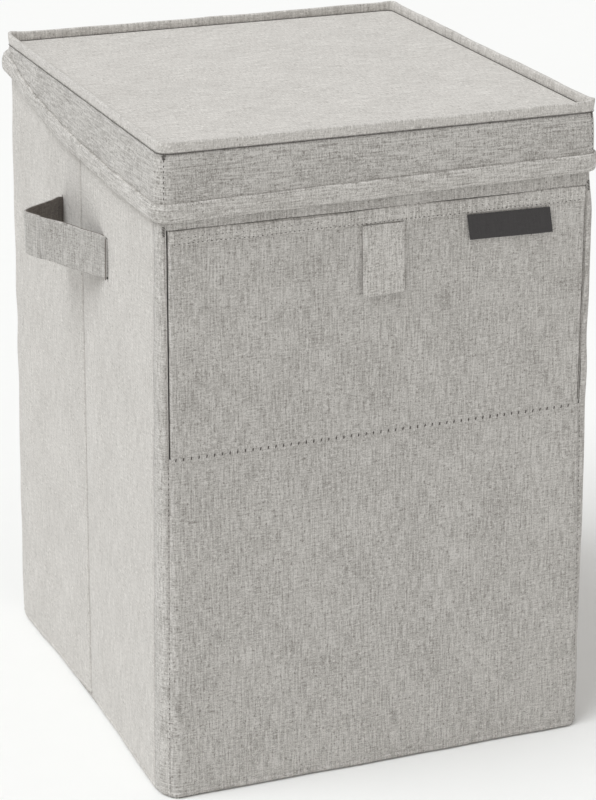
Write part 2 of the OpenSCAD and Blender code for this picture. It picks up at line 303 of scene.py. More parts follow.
def quads_between(index, turned=False):
    """The quads between neighbours in a grid of point numbers, u by v. Their normals
    point along u × v, or the other way when turned."""
    a, b = index[:-1, :-1], index[1:, :-1]
    c, d = index[1:, 1:], index[:-1, 1:]
    loop = (a, d, c, b) if turned else (a, b, c, d)
    return np.stack(loop, axis=-1)


def grid_quads(points, turned=False):
    """The quads of a whole grid of points, u by v."""
    return quads_between(np.arange(points[..., 0].size).reshape(points.shape[:2]), turned)


def add_piece(name, points, quads, uv, material):
    """Puts points and quads into a new mesh object with a UV map in metres, and leaves
    out the points that no quad uses."""
    used, quads = np.unique(quads.reshape(-1, 4), return_inverse=True)
    quads = quads.reshape(-1, 4)
    mesh = bpy.data.meshes.new(name)
    mesh.vertices.add(len(used))
    mesh.vertices.foreach_set("co", points.reshape(-1, 3)[used].astype(np.float32).ravel())
    mesh.loops.add(quads.size)
    mesh.loops.foreach_set("vertex_index", quads.ravel().astype(np.int32))
    mesh.polygons.add(len(quads))
    mesh.polygons.foreach_set("loop_start", np.arange(0, quads.size, 4, dtype=np.int32))
    mesh.polygons.foreach_set("use_smooth", np.ones(len(quads), bool))
    layer = mesh.uv_layers.new(name="UVMap")
    spots = uv.reshape(-1, 2)[used][quads.ravel()]
    layer.data.foreach_set("uv", spots.astype(np.float32).ravel())
    mesh.materials.append(material)
    mesh.update(calc_edges=True)
    mesh.validate()
    piece = bpy.data.objects.new(name, mesh)
    bpy.context.scene.collection.objects.link(piece)
    return piece


def close_seams(piece, reach=1e-6, outward=False):
    """Merges the doubled points where a grid meets itself, and on request turns closed
    shells to face outwards."""
    work = bmesh.new()
    work.from_mesh(piece.data)
    bmesh.ops.remove_doubles(work, verts=work.verts, dist=reach)
    if outward:
        bmesh.ops.recalc_face_normals(work, faces=work.faces)
    work.to_mesh(piece.data)
    work.free()
    return piece


def thicken(piece, thickness):
    """Gives an open sheet its thickness, behind its face."""
    wall = piece.modifiers.new("cloth thickness", "SOLIDIFY")
    wall.thickness = thickness
    wall.offset = -1
    wall.use_even_offset = False
    return piece


def finish_piece(piece, slot, *nodes):
    """Hides the frame nodes that the piece stands for."""
    if nodes:
        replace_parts(piece, *nodes)
    return piece


def slab(name, mid, normal, u, v, material, half, edge, cut=(False, False), turned=False):
    """A closed piece of even thickness with round edges. Its two faces lie at
    mid ± h·normal, where h = half·√(k(2 - k)) and k is the distance from the border
    over edge, at most 1. An end of u that is cut stays square. When turned, the cloth's
    warp runs along u."""
    from_u = np.minimum(u - u[0] + (edge if cut[0] else 0),
                        u[-1] - u + (edge if cut[1] else 0))
    from_v = np.minimum(v - v[0], v[-1] - v)
    k = np.clip(np.minimum(from_u[:, None], from_v[None, :]) / edge, 0, 1)
    h = (half * np.sqrt(k * (2 - k)))[..., None]
    index = np.arange(len(u) * len(v)).reshape(len(u), len(v))
    border = k <= 0
    under = np.where(border, index, index + index.size)
    quads = [quads_between(index).reshape(-1, 4),
             quads_between(under, turned=True).reshape(-1, 4)]
    for end, is_cut in zip((0, -1), cut):
        if is_cut:
            cap = np.stack([index[end], under[end]])
            quads.append(quads_between(cap, turned=end == 0).reshape(-1, 4))
    points = np.concatenate([(mid + normal * h).reshape(-1, 3),
                             (mid - normal * h).reshape(-1, 3)])
    uv = stacked(*spread(u, v)).reshape(-1, 2)
    uv = uv[:, ::-1] if turned else uv
    return add_piece(name, points, np.concatenate(quads), np.concatenate([uv, uv]), material)


def edge_lines(low, high, step, edge):
    """Grid lines for a slab, with close ones inside each round border."""
    close = edge * np.array([0.06, 0.25, 0.6])
    inner = lines(low + edge, high - edge, step)
    return np.concatenate([[low], low + close, inner, high - close[::-1], [high]])


def plan_point(s, radius=CORNER_R, half_w=HALF_W, half_d=HALF_D):
    """A point of the plan and its outward normal at distance s from the front's middle,
    measured round the right side. The normal turns by (s - straight) / radius in each
    corner, and the point is the middle of the corner plus radius times the normal.
    A negative s is the mirror image on the left, and a full turn changes nothing."""
    front, quarter, side = half_w - radius, radius * np.pi / 2, 2 * (half_d - radius)
    whole = 2 * (2 * front + 2 * quarter + side)
    s = np.mod(s + whole / 2, whole) - whole / 2
    a = np.abs(s)
    turn = (np.clip((a - front) / radius, 0, np.pi / 2)
            + np.clip((a - front - quarter - side) / radius, 0, np.pi / 2))
    nx, ny = np.sin(turn), -np.cos(turn)
    x = np.minimum(a, front) - np.maximum(a - front - 2 * quarter - side, 0) + radius * nx
    y = radius - half_d + np.clip(a - front - quarter, 0, side) + radius * ny
    hand = np.where(s < 0, -1, 1)
    return hand * x, y, hand * nx, ny


def on_plan(s, out, z, **size):
    """Points at plan distance s, stood out from the plan by out, at height z."""
    x, y, nx, ny = plan_point(s, **size)
    return stacked(x + nx * out, y + ny * out, z)


def plan_normal(s):
    """The plan's outward normals at distances s, as level vectors."""
    x, y, nx, ny = plan_point(s)
    return stacked(nx, ny, 0)


# ---- Materials ----

class Wiring:
    """Adds nodes to a tree and links them."""

    def __init__(self, tree):
        self.tree = tree

    def add(self, kind, **values):
        """A node of that kind with its settings."""
        node = self.tree.nodes.new(kind)
        for key, value in values.items():
            setattr(node, key, value)
        return node

    def link(self, source, target):
        """Joins an output to an input."""
        self.tree.links.new(source, target)

    def feed(self, value, target):
        """Links a socket to an input, or sets the input to a fixed value."""
        if isinstance(value, bpy.types.NodeSocket):
            self.link(value, target)
        else:
            target.default_value = value

    def math(self, operation, a, b=None, clamp=False):
        """The output of a Math node on two sockets or numbers."""
        node = self.add("ShaderNodeMath", operation=operation, use_clamp=clamp)
        for value, target in zip((a, b), node.inputs):
            if value is not None:
                self.feed(value, target)
        return node.outputs[0]

    def scaled(self, value, factor, middle=0.5):
        """The output of factor times the difference between value and middle."""
        return self.math("MULTIPLY", self.math("SUBTRACT", value, middle), factor)

    def mixed(self, share, dark, light):
        """The colour at that share of the way from dark to light."""
        node = self.add("ShaderNodeMix", data_type="RGBA")
        self.link(share, node.inputs["Factor"])
        for value, target in zip((dark, light), node.inputs[6:8]):
            self.feed(value, target)
        return node.outputs[2]

    def stretched_noise(self, vector, across, along, detail=2.0, rough=0.5):
        """Noise on a flat vector in metres whose spots are across by along metres."""
        scale = self.add("ShaderNodeVectorMath", operation="MULTIPLY")
        scale.inputs[1].default_value = (1 / across, 1 / along, 1 / across)
        self.link(vector, scale.inputs[0])
        noise = self.add("ShaderNodeTexNoise")
        noise.inputs["Scale"].default_value = 1.0
        noise.inputs["Detail"].default_value = detail
        noise.inputs["Roughness"].default_value = rough
        self.link(scale.outputs[0], noise.inputs["Vector"])
        return noise.outputs["Fac"]


def new_group(name, inputs, outputs):
    """A shader node group with those sockets, as (kind, name, default)."""
    group = bpy.data.node_groups.new(name, "ShaderNodeTree")
    for kind, label, default in inputs:
        made = group.interface.new_socket(label, in_out="INPUT", socket_type=kind)
        if default is not None:
            made.default_value = default
    for kind, label in outputs:
        group.interface.new_socket(label, in_out="OUTPUT", socket_type=kind)
    wires = Wiring(group)
    return group, wires, wires.add("NodeGroupInput"), wires.add("NodeGroupOutput")


def flecked_weave_group():
    """Plain weave of light and dark threads: long flecks run up the cloth and short ones
    across it, with a few dark slubs. The height is the product of two sine waves, one
    for each set of threads."""
    group, w, source, target = new_group(
        "flecked weave",
        [("NodeSocketVector", "Cloth", None),
         ("NodeSocketColor", "Light", (0.6, 0.6, 0.6, 1)),
         ("NodeSocketColor", "Dark", (0.3, 0.3, 0.3, 1)),
         ("NodeSocketFloat", "Contrast", 1.0)],
        [("NodeSocketColor", "Color"), ("NodeSocketFloat", "Height")])
    cloth = source.outputs["Cloth"]
    warp = w.stretched_noise(cloth, 0.0011, 0.016, 3.0, 0.6)
    weft = w.stretched_noise(cloth, 0.007, 0.0010, 3.0, 0.6)
    grain = w.stretched_noise(cloth, 0.0009, 0.0009, 1.0)
    cloud = w.stretched_noise(cloth, 0.035, 0.05, 2.0)
    streaks = w.math("ADD", w.scaled(warp, 1.5), w.scaled(weft, 1.1))
    fine = w.math("ADD", w.scaled(grain, 1.1), w.scaled(cloud, 0.35))
    both = w.math("MULTIPLY", w.math("ADD", streaks, fine), source.outputs["Contrast"])
    slub = w.stretched_noise(cloth, 0.0016, 0.0022, 0.0)
    dark_spot = w.math("MULTIPLY", w.math("SUBTRACT", 0.325, slub), 3.5, clamp=True)
    light_spot = w.math("MULTIPLY", w.math("SUBTRACT", slub, 0.68), 4.0, clamp=True)
    spots = w.math("MULTIPLY", w.math("SUBTRACT", light_spot, dark_spot),
                   source.outputs["Contrast"])
    share = w.math("ADD", w.math("ADD", both, 0.58), spots, clamp=True)
    colour = w.mixed(share, source.outputs["Dark"], source.outputs["Light"])
    w.link(colour, target.inputs["Color"])
    parts = w.add("ShaderNodeSeparateXYZ")
    w.link(cloth, parts.inputs[0])
    pitch = 0.0012
    waves = [w.math("SINE", w.math("MULTIPLY", parts.outputs[k], 2 * np.pi / pitch))
             for k in (0, 1)]
    weave = w.math("MULTIPLY", waves[0], waves[1])
    height = w.math("ADD", w.math("MULTIPLY", weave, 0.25), w.math("ADD", warp, grain))
    w.link(height, target.inputs["Height"])
    return group


def felt_group():
    """Pressed fibre: fine mottling over broad clouds. The height is the fine mottling."""
    group, w, source, target = new_group(
        "pressed fibre",
        [("NodeSocketVector", "Place", None),
         ("NodeSocketColor", "Base", (0.6, 0.6, 0.6, 1)),
         ("NodeSocketFloat", "Mottle", 0.2)],
        [("NodeSocketColor", "Color"), ("NodeSocketFloat", "Height")])
    fine = w.stretched_noise(source.outputs["Place"], 0.0009, 0.0012, 3.0, 0.7)
    broad = w.stretched_noise(source.outputs["Place"], 0.02, 0.02, 2.0)
    mottling = w.math("ADD", fine, w.math("MULTIPLY", broad, 0.6))
    shade = w.scaled(mottling, source.outputs["Mottle"], middle=0.8)
    tint = w.add("ShaderNodeVectorMath", operation="SCALE")
    w.link(source.outputs["Base"], tint.inputs[0])
    w.link(w.math("ADD", shade, 1.0), tint.inputs["Scale"])
    w.link(tint.outputs[0], target.inputs["Color"])
    w.link(fine, target.inputs["Height"])
    return group


def shared_group(name, build):
    """The node group with that name, built the first time it is asked for."""
    return bpy.data.node_groups.get(name) or build()


def new_material(name, roughness, **shader):
    """A material and its wiring, with a Principled shader whose values are set."""
    material = bpy.data.materials.new(name)
    material.use_nodes = True
    wires = Wiring(material.node_tree)
    principled = material.node_tree.nodes["Principled BSDF"]
    principled.inputs["Roughness"].default_value = roughness
    for label, value in shader.items():
        principled.inputs[label.replace("_", " ")].default_value = value
    return material, wires, principled


def raise_surface(wires, principled, height, distance, strength=1.0):
    """Feeds a height through a Bump node into the shader's normal."""
    relief = wires.add("ShaderNodeBump")
    relief.inputs["Distance"].default_value = distance
    relief.inputs["Strength"].default_value = strength
    wires.link(height, relief.inputs["Height"])
    wires.link(relief.outputs["Normal"], principled.inputs["Normal"])


def weave(name):
    """The flecked cloth of that name, on the piece's own UV map in metres."""
    found = bpy.data.materials.get(name)
    if found:
        return found
    cloth = bpy.context.scene.hamper_cloth
    contrast, lift, *own = WEAVES[name]
    light, dark = own or (cloth.light_thread, cloth.dark_thread)
    material, w, principled = new_material(name, 0.92, Sheen_Weight=0.12, Sheen_Roughness=0.6)
    group = w.add("ShaderNodeGroup")
    group.node_tree = shared_group("flecked weave", flecked_weave_group)
    # The lift paints light and shade into the thread colours: lighter for the lit side and lid
    # cloths, darker for the shaded cover and skirt cloths.
    group.inputs["Light"].default_value = (*(lift * c for c in light), 1)
    group.inputs["Dark"].default_value = (*(lift * c for c in dark), 1)
    group.inputs["Contrast"].default_value = contrast
    place = w.add("ShaderNodeUVMap", uv_map="UVMap")
    w.link(place.outputs["UV"], group.inputs["Cloth"])
    w.link(group.outputs["Color"], principled.inputs["Base Color"])
    raise_surface(w, principled, group.outputs["Height"], distance=0.00022, strength=0.8)
    return material


def fibre_material(name, colour, roughness, mottle, relief, on_uv=False):
    """Pressed fibre such as nonwoven lining or board, on Object coordinates or UV."""
    found = bpy.data.materials.get(name)
    if found:
        return found
    material, w, principled = new_material(name, roughness)
    group = w.add("ShaderNodeGroup")
    group.node_tree = shared_group("pressed fibre", felt_group)
    group.inputs["Base"].default_value = (*colour, 1)
    group.inputs["Mottle"].default_value = mottle
    if on_uv:
        place = w.add("ShaderNodeUVMap", uv_map="UVMap").outputs["UV"]
    else:
        place = w.add("ShaderNodeTexCoord").outputs["Object"]
    w.link(place, group.inputs["Place"])
    w.link(group.outputs["Color"], principled.inputs["Base Color"])
    raise_surface(w, principled, group.outputs["Height"], relief)
    return material


def lining_cloth():
    """Pale nonwoven lining."""
    return fibre_material("lining cloth", (0.60, 0.59, 0.56), roughness=0.9, mottle=0.13,
                          relief=0.0002, on_uv=True)


def board_fibre():
    """Grey pressed board."""
    return fibre_material("pressed board", (0.36, 0.35, 0.32), roughness=0.85, mottle=0.3,
                          relief=0.0002)


def thread():
    """Dark twisted thread whose ply shows as fine noise in tint and height."""
    found = bpy.data.materials.get("sewing thread")
    if found:
        return found
    colour = bpy.context.scene.hamper_thread.colour
    material, w, principled = new_material("sewing thread", 0.7, Sheen_Weight=0.1)
    place = w.add("ShaderNodeTexCoord").outputs["Object"]
    ply = w.stretched_noise(place, 0.0006, 0.0006, 2.0)
    tone = w.mixed(ply, (*(0.5 * c for c in colour), 1), (*(1.9 * c for c in colour), 1))
    w.link(tone, principled.inputs["Base Color"])
    raise_surface(w, principled, ply, distance=0.0001)
    return material


def plated_steel():
    """Bright plated steel with faint rubbing marks."""
    material, w, principled = new_material("plated steel", 0.3, Metallic=1.0)
    place = w.add("ShaderNodeTexCoord").outputs["Object"]
    marks = w.stretched_noise(place, 0.0004, 0.004, 4.0)
    w.link(w.math("ADD", w.math("MULTIPLY", marks, 0.25), 0.18), principled.inputs["Roughness"])
    tone = w.mixed(marks, (0.50, 0.50, 0.52, 1), (0.70, 0.70, 0.71, 1))
    w.link(tone, principled.inputs["Base Color"])
    return material


def strip_plastic():
    """Extruded plastic with fine lines along it."""
    material, w, principled = new_material("strip plastic", 0.5)
    place = w.add("ShaderNodeTexCoord").outputs["Object"]
    grain = w.stretched_noise(place, 0.003, 0.0004, 2.0)
    tone = w.mixed(grain, (0.78, 0.78, 0.76, 1), (0.88, 0.88, 0.86, 1))
    w.link(tone, principled.inputs["Base Color"])
    raise_surface(w, principled, grain, distance=0.0001)
    return material


# ---- Sewing ----

def stitches(name, places, along, out, length, body, wide=None):
    """A row of stitches. Each is a spindle: its radius is width/2·√(1 - t²) for t from
    -1 to 1 along it, bent to sink into the cloth at its ends by half a width times t²."""
    width = wide or bpy.context.scene.hamper_thread.width
    t = np.linspace(-1, 1, 5)[:, None]
    turn = np.linspace(0, 2 * np.pi, 6, endpoint=False)[None, :]
    turn = np.concatenate([turn, turn[:, :1]], axis=1)
    radius = width / 2 * np.sqrt(1 - t ** 2)
    shape = stacked(t * length / 2, radius * np.sin(turn),
                    radius * np.cos(turn) - width / 2 * t ** 2)
    places, along, out = (np.broadcast_to(a, places.shape) for a in (places, along, out))
    along = along / np.linalg.norm(along, axis=1, keepdims=True)
    out = out / np.linalg.norm(out, axis=1, keepdims=True)
    axes = np.stack([along, np.cross(out, along), out], axis=1)
    points = np.einsum("uvk,nkx->nuvx", shape, axes) + places[:, None, None, :]
    index = np.arange(points[..., 0].size).reshape(points.shape[:3])
    quads = np.concatenate([quads_between(i).reshape(-1, 4) for i in index])
    uv = np.broadcast_to(shape[..., :2], points.shape[:3] + (2,))
    piece = close_seams(add_piece(name, points, quads, uv, thread()), outward=True)
    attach(piece, body)
    return piece


# ---- The walls' cloth ----

def stand_off(s, z):
    """How far the wall's cloth stands out from the plan. It is the lift, plus flare times
    the share of the way down, plus the swell and the waves, less the grooves. The flare
    drops in a straight line towards a side's crease, and on the front panel it starts at
    the door's hinge. A groove at each seam is a bell with a bell-shaped ridge beside it.
    The waves fade out at the crease and at the hinge."""
    cloth = bpy.context.scene.hamper_cloth
    x, y, nx, ny = plan_point(s)
    fall = np.clip(1 - z / WALL_TOP, 0, 1)
    dip = (1 - cloth.crease_flare) * np.clip(1 - np.abs(y) / CORNER_FOLD_Y, 0, 1)
    flare = fall * (1 - dip)
    flare = flare * (1 - 0.30 * smooth((np.abs(y) - 0.146) / 0.014))
    panel = (y < 0) * (1 - smooth((np.abs(x) - DOORWAY_SIDE) / 0.0015))
    flare = flare * (1 - panel) + panel * np.clip(1 - z / (HINGE_Z - 0.005), 0, 1)
    calm = smooth(np.abs(y) / 0.03) * smooth((WALL_TOP + 0.004 - z) / 0.02)
    calm = calm * (1 - panel * bump(z - HINGE_Z, 0.012))
    waves = ripple(x + y, z, 3, 0.075) + 0.4 * ripple(x + y, z, 4, 0.028)
    swell = cloth.swell * smooth(nx) * smooth((0.402 - z) / 0.03) * smooth(np.abs(y) / 0.1)
    out = COVER_LIFT + cloth.flare * flare + swell + cloth.ripple * calm * waves
    for seam_x, seam_y in ((DOORWAY_SIDE, -1), (BACK_SEAM, 1)):
        away = np.where(np.sign(y) == seam_y, np.abs(np.abs(x) - seam_x), 1)
        out = out - 0.00060 * bump(away, 0.0009) + 0.00020 * bump(away - 0.0030, 0.0016)
    crease = np.where(np.abs(nx) > 0.9, np.abs(y), 1)
    out = out - 0.0008 * bump(crease, 0.0012) - 0.0002 * bump(crease, 0.006)
    return out - 0.00045 * bump(z - FOOT_SEAM_Z, 0.0009)


def wall_rows(at):
    """The rows of a wall's cloth from under the bottom edge, round it, up the outside,
    over the top and down the inside. Each row has share, the part of the outer
    stand-off that it keeps, a shift inwards, a height and a distance along the cloth."""
    turn_r, foot, tuck, fold_in, top_r = 0.003, 0.0004, 0.006, 0.012, 0.0024
    inside = -(WALL_T + INNER_LIFT)
    top_mid = WALL_TOP + COVER_LIFT - top_r
    under = np.array([tuck, tuck / 2])
    low = np.linspace(np.pi / 2, 0, 7)
    face = lines(foot + turn_r, top_mid, bpy.context.scene.hamper_cloth.grid, at, 0.0008)[1:]
    over = np.linspace(0, np.pi, 9)[1:]
    down = np.linspace(0, fold_in, 5)[1:]
    share = np.concatenate([np.ones(len(under) + len(low) + len(face)),
                            (1 + np.cos(over)) / 2, np.zeros(len(down))])
    shift = np.concatenate([-turn_r - under, -turn_r * (1 - np.cos(low)),
                            np.zeros(len(face) + len(over) + len(down))])
    z = np.concatenate([np.full(len(under), foot), foot + turn_r * (1 - np.sin(low)),
                        face, top_mid + top_r * np.sin(over), top_mid - down])
    step = np.hypot(np.diff(z), np.diff(shift + share * COVER_LIFT + (1 - share) * inside))
    return share, shift, z, np.concatenate([[0], np.cumsum(step)]), inside


def wall_cloth(name, s_low, s_high, material, holes=()):
    """One cloth of the walls between two plan distances, with rectangular holes given
    as (s low, s high, z low, z high). A row of the profile stands out from the plan by
    share times the stand-off plus (1 - share) times the inner face, plus its shift."""
    cloth = bpy.context.scene.hamper_cloth
    marks = [e for h in holes for e in h[:2] if s_low < e < s_high]
    marks += [e for e in (-SEAM, SEAM) if s_low <= e <= s_high]
    s = lines(s_low, s_high, cloth.grid, marks, 0.0009)
    corner = np.concatenate([c + np.linspace(0, CORNER_RUN, 9) for c in
                             (FRONT_RUN, FRONT_RUN + CORNER_RUN + SIDE_RUN)])
    corner = np.concatenate([corner, -corner])
    corner = corner[(corner > s_low + 1e-4) & (corner < s_high - 1e-4)]
    s = np.unique(np.round(np.concatenate([s, corner]), 7))
    s = s[np.concatenate([[True], np.diff(s) > 1e-4])]
    s[-1] = s_high
    levels = [FOOT_SEAM_Z, HINGE_Z] + [e for h in holes for e in h[2:]]
    share, shift, z, run, inside = wall_rows(levels)
    grid_s, grid_z = s[:, None], z[None, :]
    out = share * stand_off(grid_s, grid_z) + (1 - share) * inside + shift
    points = on_plan(grid_s, out, grid_z)
    quads = grid_quads(points)
    keep = np.ones(quads.shape[:2], bool)
    mid_s = (s[:-1, None] + s[1:, None]) / 2
    mid_z = (z[None, :-1] + z[None, 1:]) / 2
    is_face = ((share[None, :-1] == 1) & (share[None, 1:] > 0.99) & (shift[None, :-1] == 0))
    for a, b, low, high in holes:
        keep &= ~((mid_s > a) & (mid_s < b) & (mid_z > low) & (mid_z < high) & is_face)
    uv = stacked(*spread(s, run))
    piece = thicken(add_piece(name, points, quads[keep], uv, material), cloth.thickness)
    hole_area = sum((min(h[1], s_high) - max(h[0], s_low)) * (h[3] - h[2]) for h in holes)
    flat = (s_high - s_low, run[-1])
    return piece, flat, flat[0] * flat[1] - hole_area


class HAMPER_OT_sew_walls(Operator):
    """Sews the nine cloths that cover the walls, with the doorway and the strap slits"""

    bl_idname = "hamper.sew_walls"
    bl_label = "Sew the walls"

    def execute(self, context):
        side = run_to_side
        slit_z = (STRAP_LOW[2] + STRAP_HIGH[2]) / 2
        front_slit = (side(FRONT_SLIT_Y) - 0.0038, side(FRONT_SLIT_Y) + 0.0009,
                      slit_z - 0.0152, slit_z + 0.0142)
        rear_slit = (side(REAR_SLIT_Y) - 0.0011, side(REAR_SLIT_Y) + 0.0011,
                     slit_z - 0.0122, slit_z + 0.0172)
        mirrored = lambda h: (-h[1], -h[0], h[2], h[3])
        doorway = (-SEAM - 0.001, SEAM + 0.001, HINGE_Z, DOORWAY_TOP)
        plan = [
            ("front_left_cloth", -side(0), -CORNER_SEAM, weave("lit side cloth"),
             [mirrored(front_slit)], ["front_left_cover"], "front_left_board"),
            ("front_left_corner_cloth", -CORNER_SEAM, -SEAM, weave("shaded cover cloth"),
             [], ["front_cover"], "front_corner_boards"),
            ("front_cloth", -SEAM, SEAM, weave("shaded cover cloth"),
             [doorway], ["front_cover"], "front_board"),
            ("front_right_corner_cloth", SEAM, side(-CORNER_FOLD_Y), weave("shaded cover cloth"),
             [], ["front_cover"], "front_corner_boards"),
            ("front_right_cloth", side(-CORNER_FOLD_Y), side(0), weave("lit side cloth"),
             [front_slit], ["front_right_cover"], "front_right_board"),
            ("rear_right_cloth", side(0), run_to_rear(BACK_SEAM), weave("lit side cloth"),
             [rear_slit], ["rear_right_cover"], "rear_right_board"),
            ("back_cloth", run_to_rear(BACK_SEAM), run_to_rear(-BACK_SEAM), weave("shaded cover cloth"),
             [], ["back_cover"], "back_board"),
            ("rear_left_cloth", -run_to_rear(BACK_SEAM), -side(0), weave("lit side cloth"),
             [mirrored(rear_slit)], ["rear_left_cover"], "rear_left_board"),
        ]
        made = {}
        for name, low, high, material, holes, nodes, board in plan:
            piece, flat, area = wall_cloth(name, low, high, material, holes)
            finish_piece(piece, "cover_fabric", *nodes)
            made[name] = piece
        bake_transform(made["front_left_cloth"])
        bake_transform(made["rear_left_cloth"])
        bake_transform(made["rear_right_cloth"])
        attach(made["front_cloth"], "front")
        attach(made["front_left_corner_cloth"], "front")
        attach(made["front_right_corner_cloth"], "front")
        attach(made["front_right_cloth"], "front_right")
        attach(made["back_cloth"], "back")
        self.sew_seams()
        self.sew_hinge()
        return {"FINISHED"}

    def sew_seams(self):
        """The rows of stitches beside the front's upright seams, along the door's hinge
        and at the doorway's upper corners."""
        z = np.arange(0.008, HINGE_Z - 0.004, 0.0036)
        for hand, name in SIDES:
            s = np.full(len(z), hand * (SEAM + 0.0004))
            places = on_plan(s, stand_off(s, z) - 0.00006, z)
            stitches(f"{name}_seam_stitches", places, UP, FORWARD, length=0.0027,
                     body="front", wide=0.00044)
        z = np.arange(0.010, WALL_TOP - 0.012, 0.0046)
        for hand, name in SIDES:
            s = np.full(len(z), hand * (run_to_side(0) + 0.0002))
            places = on_plan(s, stand_off(s, z) + 0.00002, z)
            stitches(f"{name}_crease_stitches", places, UP, hand * RIGHT, length=0.0026,
                     body=f"rear_{name}", wide=0.00034)
        x = np.arange(-DOORWAY_SIDE + 0.004, DOORWAY_SIDE - 0.003, 0.0053)
        places = stacked(x, -HALF_D - 0.00075, HINGE_Z - 0.0004)
        stitches("hinge_stitches", places, UP + 0.22 * RIGHT, FORWARD, length=0.0032,
                 body="front", wide=0.0007)
        rows = np.arange(7)
        for hand, name in SIDES:
            s = np.full(len(rows), hand * (SEAM + 0.0012))
            z = DOORWAY_TOP - 0.004 + 0.0010 * rows
            places = on_plan(s, stand_off(s, z) + 0.0001, z)
            stitches(f"{name}_bar_tack", places, RIGHT + 0.25 * UP, FORWARD, length=0.0030,
                     body="front", wide=0.0005)

    def sew_hinge(self):
        """The cloth that runs over the door's hinge: a flat strip with a bell-shaped
        groove along the hinge line, whose edges thin out into the cloth at each side."""
        half, edge = 0.0034, 0.0004
        u = edge_lines(-DOORWAY_SIDE + 0.001, DOORWAY_SIDE - 0.001, 0.003, edge)
        v = edge_lines(-half, half, 0.0006, edge)
        x, up = spread(u, v)
        y = -HALF_D - 0.00035 + 0.00022 * bump(up, 0.0007)
        strip = slab("door_hinge_cloth", stacked(x, y, HINGE_Z + up), FORWARD, u, v,
                     weave("shaded cover cloth"), half=0.0003, edge=edge)
        finish_piece(strip, "cover_fabric")
        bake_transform(strip)


class HAMPER_OT_bind_doorway(Operator):
    """Turns a strip of cloth over the edges of the doorway"""

    bl_idname = "hamper.bind_doorway"
    bl_label = "Bind the doorway"

    def execute(self, context):
        # The path runs up the left jamb, along the head and down the right jamb
        jamb = np.linspace(HINGE_Z + 0.0005, DOORWAY_TOP, 45)[:-1]
        head = np.linspace(-DOORWAY_SIDE, DOORWAY_SIDE, 90)
        x = np.concatenate([np.full(len(jamb), -DOORWAY_SIDE), head,
                            np.full(len(jamb), DOORWAY_SIDE)])
        z = np.concatenate([jamb, np.full(len(head), DOORWAY_TOP), jamb[::-1]])
        # The section runs from the outer face over the edge to the inner face
        jambs = (np.abs(x) >= DOORWAY_SIDE - 1e-6)[:, None]
        depth = np.array([0, 0, 0.25, 0.5, 0.75, 1, 1])[None, :]
        back_in = np.array([0.0010, 0.0003, 0, 0, 0, 0.0003, 0.003])[None, :]
        back_in = np.where(jambs, np.minimum(back_in, 0.0012), back_in)
        first = np.where(jambs, HALF_D - CORNER_R * (1 - np.cos(SEAM_TURN)) + 0.0003,
                         HALF_D + 0.0001)
        last = np.where(jambs, HALF_D - CORNER_R, HALF_D - WALL_T - 0.0006)
        y = -first * (1 - depth) - last * depth
        away_x = np.where(jambs, np.sign(x)[:, None], 0)
        away_z = np.where(z >= DOORWAY_TOP - 1e-6, 1.0, 0)[:, None]
        over = back_in - 0.0003
        points = stacked(x[:, None] + away_x * over, y, z[:, None] + away_z * over)
        run = np.concatenate([[0], np.cumsum(np.hypot(np.diff(x), np.diff(z)))])
        across = np.cumsum(np.array([0, 0.002, 0.001, 0.001, 0.001, 0.001, 0.003]))
        uv = stacked(across[None, :], run[:, None])
        piece = add_piece("doorway_binding", points, grid_quads(points, turned=True), uv,
                          weave("hem cloth"))
        thicken(piece, 0.0005)
        finish_piece(piece, "cover_fabric")
        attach(piece, "front")
        return {"FINISHED"}


# ---- Linings ----

def lining_sheet(name, s_low, s_high, hole=None):
    """A lining on the walls' inner face: the plan taken in by the wall's thickness, plus
    a sum of faint sine waves, facing inwards. The hole is (s low, s high, z low, z high)."""
    low, high = corners("front_left_lining")[0][2] + 0.001, WALL_TOP - 0.006
    marks = [e for e in (hole[:2] if hole else ()) if s_low < e < s_high]
    s = lines(s_low, s_high, 0.006, marks, 0.0008)
    z = lines(low, high, 0.008, hole[2:] if hole else (), 0.0008)
    out = -(WALL_T + 0.0001) + 0.00012 * ripple(s[:, None], z[None, :], 11, 0.07)
    points = on_plan(s[:, None], out, z[None, :])
    quads = grid_quads(points, turned=True)
    mid_s, mid_z = (s[:-1, None] + s[1:, None]) / 2, (z[None, :-1] + z[None, 1:]) / 2
    keep = np.ones(quads.shape[:2], bool)
    area = (s_high - s_low) * (high - low)
    if hole:
        keep &= ~((mid_s > hole[0]) & (mid_s < hole[1]) & (mid_z > hole[2]) & (mid_z < hole[3]))
        area -= (hole[1] - hole[0]) * (hole[3] - hole[2])
    uv = stacked(*spread(s, z))
    piece = thicken(add_piece(name, points, quads[keep], uv, lining_cloth()), 0.0005)
    finish_piece(piece, "lining_fabric")
    return piece


